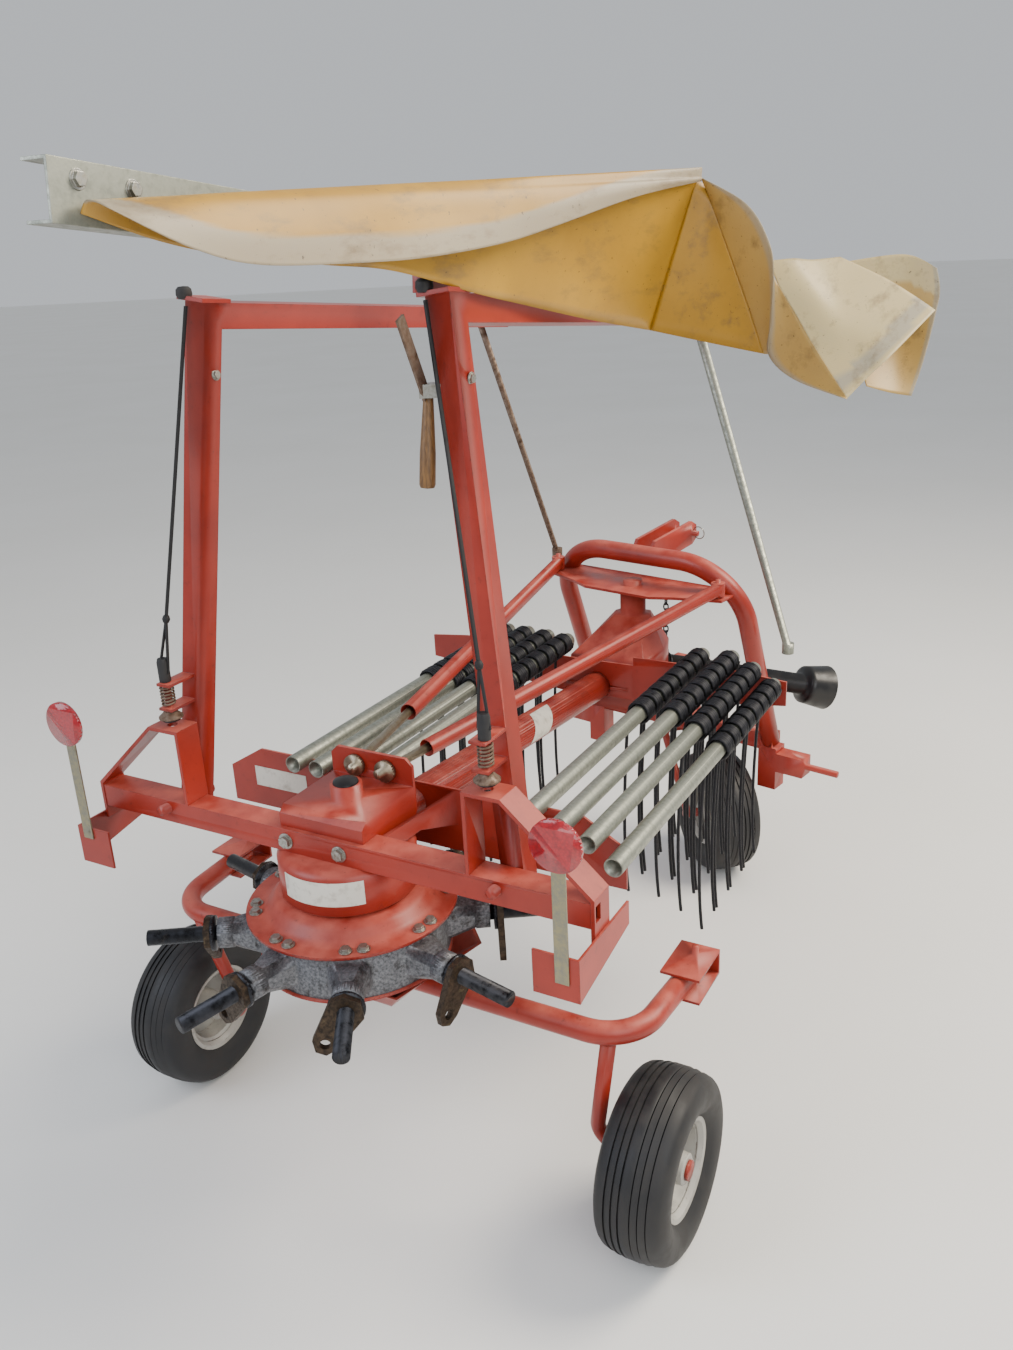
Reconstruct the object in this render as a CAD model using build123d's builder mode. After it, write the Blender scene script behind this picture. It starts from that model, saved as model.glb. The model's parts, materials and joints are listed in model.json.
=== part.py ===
"""Single-rotor rotary rake, three-point mounted, parked on its wheels with the tine arms stowed.

Millimetres. X points forward to the headstock, Y to the machine's left, Z up.
Places are given from the point on the ground midway between the two rear wheels. Each part is saved
about ORIGIN instead, the point on the ground under the middle of the whole machine.
"""

from build123d import *
from math import asin, cos, degrees, radians, sin, sqrt
import os

os.makedirs("parts", exist_ok=True)

# The saved parts' origin, and the machine's
ORIGIN = (539, -97, 0)

# Clearances: a running fit's radial gap, and the gap between seated pieces
RUNNING_FIT = 0.05
SEAT = 0.3

# Wheels, all three alike
TYRE_RADIUS = 205
TYRE_WIDTH = 165
RIM_RADIUS = 108
HUB_RADIUS = 34
HUB_LENGTH = 120
AXLE_RADIUS = 14
WHEEL_Y = 653

# Chassis
CHASSIS_TUBE_RADIUS = 25
CHASSIS_Z = 550
CHASSIS_REAR_X = -70
CHASSIS_FRONT_X = 216
CHASSIS_HALF = 640
CHASSIS_BEND = 110
LEG_RADIUS = 17
LEG_TOP = (-52, 560)
LEG_KNEE_Y = 500

# Rotor, turning about a vertical axis
ROTOR_X = -133
COLUMN_RADIUS = 38
DISH_RADIUS = 226
DISH_RIM_Z = 766
DISH_TOP_Z = 800
DISH_COLLAR_RADIUS = 158
SHEET = 6
CASTING_TOP_Z = DISH_RIM_Z - SHEET - SEAT
CASTING_BOTTOM_Z = 652
RING_OUTER_R = 204
RING_INNER_R = 112
SHAFT_Z = 704
SNOUT_R = 262
COLLAR_R = 292
COLLAR_RADIUS = 33
ARM_COUNT = 8
ARM_PHASE = 77.6
STUB_RADIUS = 17
STUB_OUTER_R = 445

# Gearbox housing above the dish
DRUM_RADIUS = 147
DRUM_BOTTOM_Z = 806
DRUM_TOP_Z = 905

# Rear beam, square tube
BEAM_REAR_X = -223
BEAM_SIZE = (60, 52)
BEAM_Z = 931
BEAM_HALF = 610
BEAM_X = BEAM_REAR_X + BEAM_SIZE[0] / 2
BEAM_FRONT_X = BEAM_REAR_X + BEAM_SIZE[0]
BEAM_TOP_Z = BEAM_Z + BEAM_SIZE[1] / 2

# End brackets, flat bar folded over the beam's ends
BRACKET_BAR = 8
BRACKET_WIDTH = 63
BRACKET_INNER_Y = 351
BRACKET_SHOULDER_Y = 434
BRACKET_TOP_Z = 1130
LATCH_Y = 392

# Guards, folded up and leaning inward; each folds about a line along the machine
GUARD_SLOPE = 4.6
GUARD_LEAN = 7.43
GUARD_FOLD = (-132, 415, BEAM_Z)
POST_SIZE = 50
POST_LENGTH = 1070
BAR_LENGTH = 1165
GUARD_PIN_RADIUS = 12

# Bracket over the gearbox, with the dampers' rear mounts
BRACKET_BOX_Z = 1000
BOSS_X = -115
UPSTAND_X = -19
DAMPER_REAR_Y = 40
DAMPER_REAR_Z = 1028

# Main tube and the two cross plates that carry the stowed arms
MAIN_TUBE_RADIUS = 42
MAIN_TUBE_REAR = (20, 0, 889)
MAIN_TUBE_FRONT = (1170, 0, 797)
RACK_REAR_X = 115
RACK_FRONT_X = 1120
RACK_PLATE = 6
RACK_TOP_Z = 938
ARM_PLACES = (
    dict(y=293, z=943, rear=60), dict(y=225, z=943, rear=60),
    dict(y=158, z=940, rear=90), dict(y=92, z=935, rear=100),
    dict(y=-333, z=943, rear=30), dict(y=-420, z=947, rear=30),
    dict(y=-482, z=920, rear=30), dict(y=-540, z=880, rear=30),
)
ARM_TUBE_RADIUS = 21
ARM_FRONT_X = RACK_FRONT_X - 0.3
COIL_RADIUS = 32
COIL_LENGTH = 96
TINE_WIRE = 4.5
TINE_DROP = 520
TINE_X = (700, 815, 930, 1045)

# Front box and headstock
SWIVEL_X = 1398
SWIVEL_REST = -11.16
SWIVEL_PIN_RADIUS = 30
HOOP_RADIUS = 30
HOOP_HALF = 341
HOOP_FOOT = (293, 480)
HOOP_LEAN = 0.378
HOOP_CROWN_Z = 1124
HOOP_BEND = 200
TOP_PLATE_Z = 1034
LOWER_PLATE_Z = 690
CROSS_X = 293
CROSS_Z = 484
CROSS_SIZE = 56
LINK_Z = 420
LINK_PIN_RADIUS = 11
TOP_PIN_X = 290
TOP_PIN_Z = 1146
TOP_PIN_RADIUS = 9.5

# Drive shaft
PTO_Z = 790
PTO_HEADING = -33
PTO_DROP = 16.6
PTO_LENGTH = 735
PTO_GUARD_RADIUS = 35
PTO_BELL_RADIUS = 75
PTO_BORE_RADIUS = 17.45
CHAIN_WIRE = 5

# Castor wheel under the headstock
CASTOR_X = 360
CASTOR_TRAIL = 216
CASTOR_HEADING = 43.5
SPINDLE_RADIUS = 18

# Dampers: a rod from the gearbox bracket slides in a tube from the headstock
DAMPER_FRONT = (8, 300, 1068)
DAMPER_ROD_RADIUS = 10
DAMPER_TUBE_RADIUS = 20
DAMPER_BORE_RADIUS = 18
DAMPER_EYE_RADIUS = 8
DAMPERS = {"left": dict(tube=1230, inserted=250, stroke=140), "right": dict(tube=1270, inserted=250, stroke=40)}

LEFT, RIGHT = 1, -1
SIDES = {"left": LEFT, "right": RIGHT}
UP = Vector(0, 0, 1)


def side_view(y):
    """A plane seen from the machine's right: its own X and Y are the machine's X and Z."""
    return Plane(origin=(0, y, 0), x_dir=(1, 0, 0), z_dir=(0, -1, 0))


def end_view(x):
    """A plane across the machine: its own X and Y are the machine's Y and Z."""
    return Plane(origin=(x, 0, 0), x_dir=(0, 1, 0), z_dir=(1, 0, 0))


def rod(start, end, radius):
    """A round bar between two points."""
    start, end = Vector(*start), Vector(*end)
    with BuildSketch(Plane(origin=start, z_dir=end - start)) as profile:
        Circle(radius)
    return extrude(profile.sketch, amount=(end - start).length, mode=Mode.PRIVATE)


def bent_tube(points, radius, bends):
    """A round tube along straight runs joined by arcs."""
    with BuildLine() as path:
        FilletPolyline(*points, radius=bends)
    with BuildSketch(Plane(origin=path.line @ 0, z_dir=path.line % 0)) as profile:
        Circle(radius)
    return sweep(profile.sketch, path=path.line, mode=Mode.PRIVATE)


def sheet(plane, corners, thickness):
    """A flat sheet, half its thickness to each side of the plane."""
    with BuildSketch(plane) as profile:
        with BuildLine():
            Polyline(*corners, close=True)
        make_face()
    return extrude(profile.sketch, amount=thickness / 2, both=True, mode=Mode.PRIVATE)


def block(centre, size, x_dir=(1, 0, 0), z_dir=(0, 0, 1)):
    """A box about a centre."""
    with BuildSketch(Plane(origin=centre, x_dir=x_dir, z_dir=z_dir)) as profile:
        Rectangle(size[0], size[1])
    return extrude(profile.sketch, amount=size[2] / 2, both=True, mode=Mode.PRIVATE)


def turned(plane_origin, axis, corners):
    """A solid of revolution from corners given as (radius, distance along the axis)."""
    axis = Vector(*axis)
    side = Vector(1, 0, 0) if abs(axis.X) < 0.9 else Vector(0, 1, 0)
    radial = axis.cross(side).normalized()
    with BuildSketch(Plane(origin=plane_origin, x_dir=radial, z_dir=radial.cross(axis))) as profile:
        with BuildLine():
            Polyline(*corners, close=True)
        make_face()
    return revolve(profile.sketch, axis=Axis(plane_origin, axis), mode=Mode.PRIVATE)


def prism_loft(sections):
    """A flat-faced solid through closed outlines with the same number of corners."""
    faces = []
    for plane, corners in sections:
        with BuildSketch(plane) as profile:
            with BuildLine():
                Polyline(*corners, close=True)
            make_face()
        faces.append(profile.sketch.faces()[0])
    return loft(faces, ruled=True, mode=Mode.PRIVATE)


def save(builder, name):
    """Write a part about the machine's own origin."""
    moved = builder.part.moved(Location(Vector(*ORIGIN) * -1))
    moved.label = name
    export_step(moved, f"parts/{name}.step")


# Headstock's own axes, which turn with its swivel
head = Plane(
    origin=(SWIVEL_X, 0, 0),
    x_dir=(cos(radians(SWIVEL_REST)), sin(radians(SWIVEL_REST)), 0),
    z_dir=(0, 0, 1),
)


def on_head(x, y, z):
    return head.from_local_coords(Vector(x, y, z))


HEAD_X = head.x_dir
HEAD_Y = head.y_dir


def damper_ends(side):
    """Where a damper is pinned to the gearbox bracket and to the headstock."""
    x, y, z = DAMPER_FRONT
    return Vector(UPSTAND_X, side * DAMPER_REAR_Y, DAMPER_REAR_Z), on_head(x, side * y, z)


# Chassis tube: across behind the axle line, its ends bent forward
with BuildPart() as chassis_tube:
    corners = [
        (CHASSIS_FRONT_X, CHASSIS_HALF, CHASSIS_Z),
        (CHASSIS_REAR_X, CHASSIS_HALF - 20, CHASSIS_Z),
        (CHASSIS_REAR_X, -CHASSIS_HALF + 20, CHASSIS_Z),
        (CHASSIS_FRONT_X, -CHASSIS_HALF, CHASSIS_Z),
    ]
    add(bent_tube(corners, CHASSIS_TUBE_RADIUS, CHASSIS_BEND))
save(chassis_tube, "chassis_tube")

# Folded plates that clasp the tube's front ends, with a cross pin in each
CLASP_LENGTH = 130
CLASP_WIDTH = 90
with BuildPart() as chassis_clasps:
    pieces = []
    for side in SIDES.values():
        y = side * CHASSIS_HALF
        gap = CHASSIS_TUBE_RADIUS + SEAT + SHEET / 2
        middle_x = CHASSIS_FRONT_X - 10
        for z in (CHASSIS_Z + gap, CHASSIS_Z - gap):
            pieces.append(block((middle_x, y, z), (CLASP_LENGTH, CLASP_WIDTH, SHEET)))
        front_x = middle_x + CLASP_LENGTH / 2 - SHEET / 2
        pieces.append(block((front_x, y, CHASSIS_Z), (SHEET, CLASP_WIDTH, 2 * gap + SHEET)))
        pin_x = CHASSIS_FRONT_X + 22
        pieces.append(rod((pin_x, y, CHASSIS_Z - 62), (pin_x, y, CHASSIS_Z + 48), 8))
    add(pieces)
save(chassis_clasps, "chassis_clasps")

# Wheel legs: bent tubes from the chassis tube down and out to the hubs
HUB_FACE_Y = WHEEL_Y - HUB_LENGTH / 2
with BuildPart() as wheel_legs:
    pieces = []
    for side in SIDES.values():
        top = (LEG_TOP[0], side * LEG_TOP[1], CHASSIS_Z - CHASSIS_TUBE_RADIUS - 3 * SEAT)
        knee = (0, side * LEG_KNEE_Y, TYRE_RADIUS)
        foot = (0, side * (HUB_FACE_Y - 0.6), TYRE_RADIUS)
        pieces.append(bent_tube([top, knee, foot], LEG_RADIUS, 52))
        end_y = WHEEL_Y + HUB_LENGTH / 2 + 2
        pieces.append(rod((0, side * (HUB_FACE_Y - 20), TYRE_RADIUS), (0, side * end_y, TYRE_RADIUS), AXLE_RADIUS))
        pieces.append(rod((0, side * (end_y - 1.4), TYRE_RADIUS), (0, side * (end_y + 6), TYRE_RADIUS), 22))
    add(pieces)
save(wheel_legs, "wheel_legs")

# Fixed column, with the folded pan under the rotor and the saddle on the chassis tube
PAN_BOTTOM_Z = 598
PAN_TOP_Z = 636
with BuildPart() as rotor_column:
    pan = prism_loft([
        (Plane.XY.offset(PAN_BOTTOM_Z), [(-230, -150), (-20, -180), (60, -100), (60, 100), (-20, 180), (-230, 150)]),
        (Plane.XY.offset(PAN_TOP_Z), [(-250, -180), (0, -236), (110, -130), (110, 130), (0, 236), (-250, 180)]),
    ])
    hollow = prism_loft([
        (Plane.XY.offset(PAN_BOTTOM_Z + 5), [(-224, -144), (-23, -173), (54, -97), (54, 97), (-23, 173), (-224, 144)]),
        (Plane.XY.offset(PAN_TOP_Z + 1), [(-245, -174), (-3, -229), (104, -126), (104, 126), (-3, 229), (-245, 174)]),
    ])
    add(pan)
    add(hollow, mode=Mode.SUBTRACT)
    pieces = [rod((ROTOR_X, 0, PAN_BOTTOM_Z + 1), (ROTOR_X, 0, DRUM_BOTTOM_Z - SEAT), COLUMN_RADIUS)]
    saddle_top = CHASSIS_Z + CHASSIS_TUBE_RADIUS + SEAT
    for y in (-60, 60):
        pieces.append(block((CHASSIS_REAR_X, y, (saddle_top + PAN_BOTTOM_Z + 1) / 2), (64, 10, PAN_BOTTOM_Z + 1 - saddle_top)))
    add(pieces)
save(rotor_column, "rotor_column")

# Gearbox housing: a drum with a rolled top edge
with BuildPart() as gearbox_housing:
    add(turned((ROTOR_X, 0, 0), (0, 0, 1), [
        (0, DRUM_BOTTOM_Z), (DRUM_RADIUS - 6, DRUM_BOTTOM_Z), (DRUM_RADIUS, DRUM_BOTTOM_Z + 6),
        (DRUM_RADIUS, DRUM_TOP_Z - 12), (DRUM_RADIUS - 14, DRUM_TOP_Z), (0, DRUM_TOP_Z),
    ]))
save(gearbox_housing, "gearbox_housing")

# Rotor shell: the dish above the castings and the thin disc below them, on one hub
HUB_BORE = COLUMN_RADIUS + RUNNING_FIT
DISC_TOP_Z = CASTING_BOTTOM_Z - SEAT
with BuildPart() as rotor_shell:
    add(turned((ROTOR_X, 0, 0), (0, 0, 1), [
        (HUB_BORE, DISC_TOP_Z - SHEET), (RING_OUTER_R + 4, DISC_TOP_Z - SHEET), (RING_OUTER_R + 4, DISC_TOP_Z),
        (RING_INNER_R - 12, DISC_TOP_Z), (RING_INNER_R - 12, DISH_RIM_Z - SHEET),
        (DISH_RADIUS, DISH_RIM_Z - SHEET), (DISH_RADIUS, DISH_RIM_Z), (DISH_RADIUS - 38, DISH_RIM_Z + 2),
        (DISH_COLLAR_RADIUS, DISH_TOP_Z), (HUB_BORE, DISH_TOP_Z),
    ]))
save(rotor_shell, "rotor_shell")

ARM_ANGLES = [ARM_PHASE + index * 360 / ARM_COUNT for index in range(ARM_COUNT)]


def outward(angle):
    return Vector(cos(radians(angle)), sin(radians(angle)), 0)


def at_arm(angle, radius, z=SHAFT_Z, across=0):
    """A point beside an arm's axis, by its distance from the rotor's axis."""
    return Vector(ROTOR_X, 0, z) + outward(angle) * radius + UP.cross(outward(angle)) * across


# Arm castings: a ring of holders, each drawn out to a round snout
SNOUT_ROOT = [(-50, -28), (-34, -44), (34, -44), (50, -28), (50, 24), (34, 40), (-34, 40), (-50, 24)]
SNOUT_TIP = [(-28, -12), (-12, -28), (12, -28), (28, -12), (28, 12), (12, 28), (-12, 28), (-28, 12)]
with BuildPart() as arm_castings:
    ring = turned((ROTOR_X, 0, 0), (0, 0, 1), [
        (RING_INNER_R, CASTING_BOTTOM_Z), (RING_OUTER_R, CASTING_BOTTOM_Z), (RING_OUTER_R, CASTING_TOP_Z - 14),
        (RING_OUTER_R - 14, CASTING_TOP_Z), (RING_INNER_R, CASTING_TOP_Z),
    ])
    pieces = [ring]
    for angle in ARM_ANGLES:
        root = Plane(origin=at_arm(angle, RING_OUTER_R - 20), x_dir=UP.cross(outward(angle)), z_dir=outward(angle))
        pieces.append(prism_loft([(root, SNOUT_ROOT), (root.offset(SNOUT_R - RING_OUTER_R + 20), SNOUT_TIP)]))
        pieces.append(rod(at_arm(angle, SNOUT_R - 2), at_arm(angle, COLLAR_R), COLLAR_RADIUS))
    add(pieces)
save(arm_castings, "arm_castings")

# Stub shafts that the tine arms slide on to, each with its root flange
FLANGE_R = 300
FLANGE_THICKNESS = 7
with BuildPart() as arm_stubs:
    pieces = []
    for angle in ARM_ANGLES:
        pieces.append(rod(at_arm(angle, COLLAR_R + SEAT), at_arm(angle, STUB_OUTER_R), STUB_RADIUS))
        pieces.append(rod(at_arm(angle, FLANGE_R), at_arm(angle, FLANGE_R + FLANGE_THICKNESS), 38))
    add(pieces)
save(arm_stubs, "arm_stubs")

# Control levers: a ring round each stub and an arm down to an eye
LEVER_R = FLANGE_R + FLANGE_THICKNESS + SEAT
LEVER_THICKNESS = 14
LEVER_EYE = (-46, -66)
LEVER_OUTLINE = [(-36, 14), (-70, -56), (-66, -82), (-46, -92), (-24, -80), (34, -14), (30, 22), (0, 38), (-26, 30)]
with BuildPart() as arm_levers:
    pieces = []
    for angle in ARM_ANGLES:
        plane = Plane(origin=at_arm(angle, LEVER_R), x_dir=UP.cross(outward(angle)), z_dir=outward(angle))
        with BuildSketch(plane) as profile:
            with BuildLine():
                Polyline(*LEVER_OUTLINE, close=True)
            make_face()
            Circle(STUB_RADIUS + 0.1, mode=Mode.SUBTRACT)
            with Locations(LEVER_EYE):
                Circle(11, mode=Mode.SUBTRACT)
        pieces.append(extrude(profile.sketch, amount=LEVER_THICKNESS, mode=Mode.PRIVATE))
    add(pieces)
save(arm_levers, "arm_levers")


def guard_directions(side):
    """The fold line's direction, the post's direction, and the direction out from the machine."""
    fold = Vector(cos(radians(GUARD_SLOPE)), 0, -sin(radians(GUARD_SLOPE)))
    square = Vector(sin(radians(GUARD_SLOPE)), 0, cos(radians(GUARD_SLOPE)))
    lean = radians(GUARD_LEAN)
    post = square * cos(lean) + Vector(0, -side, 0) * sin(lean)
    out = Vector(0, side, 0) * cos(lean) + square * sin(lean)
    return fold, post, out


def fold_point(side, along=0):
    fold = guard_directions(side)[0]
    return Vector(GUARD_FOLD[0], side * GUARD_FOLD[1], GUARD_FOLD[2]) + fold * along


# Rear beam
with BuildPart() as rear_beam:
    with BuildSketch(Plane(origin=(BEAM_X, -BEAM_HALF, BEAM_Z), x_dir=(1, 0, 0), z_dir=(0, 1, 0))):
        Rectangle(*BEAM_SIZE)
        Rectangle(BEAM_SIZE[0] - 8, BEAM_SIZE[1] - 8, mode=Mode.SUBTRACT)
    extrude(amount=2 * BEAM_HALF)
    bores = [rod(fold_point(s, -120), fold_point(s, -10), GUARD_PIN_RADIUS + RUNNING_FIT) for s in SIDES.values()]
    add(bores, mode=Mode.SUBTRACT)
save(rear_beam, "rear_beam")

# End brackets: flat bar up from the beam, over, and down past the beam's end
with BuildPart() as end_brackets:
    inner_foot = BEAM_TOP_Z + SEAT
    outer = BEAM_HALF + SEAT
    bar = BRACKET_BAR
    outline = [
        (BRACKET_INNER_Y, inner_foot), (BRACKET_INNER_Y, BRACKET_TOP_Z), (BRACKET_SHOULDER_Y, BRACKET_TOP_Z),
        (outer + bar, BEAM_TOP_Z + 8), (outer + bar, BEAM_Z - 56), (outer, BEAM_Z - 56), (outer, BEAM_TOP_Z + 4),
        (BRACKET_SHOULDER_Y - 3, BRACKET_TOP_Z - bar), (BRACKET_INNER_Y + bar, BRACKET_TOP_Z - bar), (BRACKET_INNER_Y + bar, inner_foot),
    ]
    plane = end_view(BEAM_X)
    add([sheet(plane, [(side * y, z) for y, z in outline], BRACKET_WIDTH) for side in SIDES.values()])
    holes = []
    for side in SIDES.values():
        holes.append(rod((BEAM_X, side * LATCH_Y, BRACKET_TOP_Z - 20), (BEAM_X, side * LATCH_Y, BRACKET_TOP_Z + 5), 11))
        slot_y = side * (outer + bar / 2)
        holes.append(block((BEAM_X - 16, slot_y, BEAM_Z + 3), (20, bar + 4, 34)))
    add(holes, mode=Mode.SUBTRACT)
save(end_brackets, "end_brackets")

# Holders for the reflector strips, hung on the end brackets
HOLDER_Z = (800, 890)
HOLDER_BACK_X = -302
with BuildPart() as strip_holders:
    pieces = []
    for side in SIDES.values():
        y = side * (BEAM_HALF + BRACKET_BAR + 2 * SEAT + 2.5)
        low, high = HOLDER_Z
        pieces.append(sheet(side_view(y), [(HOLDER_BACK_X, low), (-84, low + 40), (-84, high), (HOLDER_BACK_X, high)], 5))
        inner = y - side * 92
        pieces.append(sheet(end_view(HOLDER_BACK_X + 2.5), [(y + side * 2.5, low), (inner, low), (inner, high), (y + side * 2.5, high)], 5))
    add(pieces)
save(strip_holders, "strip_holders")

STRIP_Y = 590
STRIP_X = HOLDER_BACK_X - SEAT - 1.5
STRIP_LENGTH = 280
REFLECTOR_Z = {"left": 1145, "right": 1115}
with BuildPart() as reflector_strips:
    middles = [(STRIP_X, side * STRIP_Y, REFLECTOR_Z[name] - STRIP_LENGTH / 2) for name, side in SIDES.items()]
    add([block(middle, (3, 28, STRIP_LENGTH)) for middle in middles])
save(reflector_strips, "reflector_strips")

with BuildPart() as reflectors:
    pieces = []
    for name, side in SIDES.items():
        back = STRIP_X - 1.5 - SEAT
        z = REFLECTOR_Z[name]
        pieces.append(rod((back - 9, side * STRIP_Y, z), (back, side * STRIP_Y, z), 50))
    add(pieces)
save(reflectors, "reflectors")

# Gearbox bracket: a folded box over drum and beam, a boss, and an upstand for the dampers
with BuildPart() as gearbox_bracket:
    side_outline = [
        (BEAM_REAR_X + 12, BEAM_TOP_Z + SEAT), (BEAM_REAR_X + 12, BRACKET_BOX_Z - 14), (BEAM_REAR_X + 28, BRACKET_BOX_Z),
        (UPSTAND_X, BRACKET_BOX_Z), (UPSTAND_X, DRUM_TOP_Z + SEAT), (BEAM_FRONT_X + SEAT, DRUM_TOP_Z + SEAT),
        (BEAM_FRONT_X + SEAT, BEAM_TOP_Z + SEAT),
    ]
    add(sheet(side_view(0), side_outline, 210))
    add([
        rod((BOSS_X, 0, BRACKET_BOX_Z - 2), (BOSS_X, 0, BRACKET_BOX_Z + 32), 34),
        sheet(end_view(UPSTAND_X), [(-105, 940), (105, 940), (105, 1046), (88, 1062), (-88, 1062), (-105, 1046)], 8),
    ])
    holes = []
    for side in SIDES.values():
        rear, front = damper_ends(side)
        along = (front - rear).normalized() * 14
        holes.append(rod(rear - along, rear + along, DAMPER_ROD_RADIUS + SEAT))
    add(holes, mode=Mode.SUBTRACT)
save(gearbox_bracket, "gearbox_bracket")

# Rear rack plate, with the braces back to the beam
with BuildPart() as rear_rack_plate:
    middle_x = RACK_REAR_X - RACK_PLATE / 2
    plate = [(-434, RACK_TOP_Z), (-534, 879), (-534, 784), (534, 784), (534, 879), (434, RACK_TOP_Z)]
    add(sheet(end_view(middle_x), plate, RACK_PLATE))
    cuts = [rod((middle_x - 10, a["y"], a["z"]), (middle_x + 10, a["y"], a["z"]), ARM_TUBE_RADIUS + SEAT) for a in ARM_PLACES]
    cuts.append(rod(MAIN_TUBE_REAR, MAIN_TUBE_FRONT, MAIN_TUBE_RADIUS + SEAT))
    add(cuts, mode=Mode.SUBTRACT)
    rear_x = BEAM_FRONT_X + SEAT
    brace = [
        (rear_x, BEAM_TOP_Z), (rear_x, BEAM_TOP_Z - 42), (UPSTAND_X - 21, DRUM_TOP_Z + 5),
        (middle_x, RACK_TOP_Z - 88), (middle_x, RACK_TOP_Z - 4),
    ]
    add([sheet(side_view(side * 122), brace, 8) for side in SIDES.values()])
save(rear_rack_plate, "rear_rack_plate")

# Main tube
with BuildPart() as main_tube:
    add(rod(MAIN_TUBE_REAR, MAIN_TUBE_FRONT, MAIN_TUBE_RADIUS))
save(main_tube, "main_tube")

# Front box: folded hood, open below and in front, with the swivel pins and the front rack plate
HOOD_FLOOR_Z = 716
with BuildPart() as front_box:
    outer_foot = [(1160, -112), (1330, -128), (1428, -104), (1428, 104), (1330, 128), (1160, 112)]
    outer_waist = [(1190, -120), (1330, -132), (1430, -108), (1430, 108), (1330, 132), (1190, 120)]
    outer_top = [(1352, -44), (1398, -60), (1436, -44), (1436, 44), (1398, 60), (1352, 44)]
    inner_foot = [(1166, -106), (1330, -122), (1450, -98), (1450, 98), (1330, 122), (1166, 106)]
    inner_waist = [(1196, -114), (1330, -126), (1450, -102), (1450, 102), (1330, 126), (1196, 114)]
    inner_top = [(1362, -38), (1398, -50), (1450, -38), (1450, 38), (1398, 50), (1362, 38)]
    levels = (HOOD_FLOOR_Z, 862, 950)
    add(prism_loft([(Plane.XY.offset(z), outline) for z, outline in zip(levels, (outer_foot, outer_waist, outer_top))]))
    inside = (HOOD_FLOOR_Z + 8, 858, 938)
    add(prism_loft([(Plane.XY.offset(z), outline) for z, outline in zip(inside, (inner_foot, inner_waist, inner_top))]), mode=Mode.SUBTRACT)
    rack = [
        (-575, 822), (-118, 770), (118, 770), (575, 822), (575, 893), (450, 905), (118, 905), (118, 880), (-118, 880), (-118, 905), (-450, 905), (-575, 893),
    ]
    add([
        rod((SWIVEL_X, 0, 944), (SWIVEL_X, 0, TOP_PLATE_Z + 22), SWIVEL_PIN_RADIUS),
        rod((SWIVEL_X, 0, LOWER_PLATE_Z - 12), (SWIVEL_X, 0, HOOD_FLOOR_Z + 4), 20),
        rod((SWIVEL_X, 0, 944), (SWIVEL_X, 0, TOP_PLATE_Z - 6), SWIVEL_PIN_RADIUS + 10),
        sheet(end_view(RACK_FRONT_X + RACK_PLATE / 2), rack, RACK_PLATE),
        block((1155, 0, 800), (80, 200, 8)),
    ])
    add(rod(MAIN_TUBE_REAR, MAIN_TUBE_FRONT, MAIN_TUBE_RADIUS + SEAT), mode=Mode.SUBTRACT)
save(front_box, "front_box")

# Stowed arms: tubes open at the rear
with BuildPart() as stowed_arm_tubes:
    add([rod((a["rear"], a["y"], a["z"]), (ARM_FRONT_X, a["y"], a["z"]), ARM_TUBE_RADIUS) for a in ARM_PLACES])
    sockets = [rod((a["rear"] - 1, a["y"], a["z"]), (a["rear"] + 160, a["y"], a["z"]), STUB_RADIUS + 1) for a in ARM_PLACES]
    add(sockets, mode=Mode.SUBTRACT)
save(stowed_arm_tubes, "stowed_arm_tubes")

# Double tines: a barrel of coils round the tube, and two long legs
with BuildPart() as double_tine:
    with BuildSketch(end_view(-COIL_LENGTH / 2)):
        Circle(COIL_RADIUS)
        Circle(ARM_TUBE_RADIUS + SEAT, mode=Mode.SUBTRACT)
    extrude(amount=COIL_LENGTH)
    leg_x = COIL_LENGTH / 2 - TINE_WIRE
    legs = []
    for end in (-1, 1):
        root = (end * leg_x, COIL_RADIUS - TINE_WIRE - 1, 0)
        knee = (end * leg_x, COIL_RADIUS + 24, -TINE_DROP * 0.62)
        tip = (end * leg_x, COIL_RADIUS + 6, -TINE_DROP)
        legs.append(bent_tube([root, knee, tip], TINE_WIRE, 60))
    add(legs)
with BuildPart() as stowed_tines:
    places = [(x, a["y"], a["z"]) for x in TINE_X for a in ARM_PLACES]
    with Locations(*places):
        add(double_tine.part)
save(stowed_tines, "stowed_tines")

castor_pivot = on_head(CASTOR_X, 0, 0)
castor_forward = Vector(cos(radians(CASTOR_HEADING)), sin(radians(CASTOR_HEADING)), 0)
castor_centre = castor_pivot - castor_forward * CASTOR_TRAIL + UP * TYRE_RADIUS
castor_axle = UP.cross(castor_forward)

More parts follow.
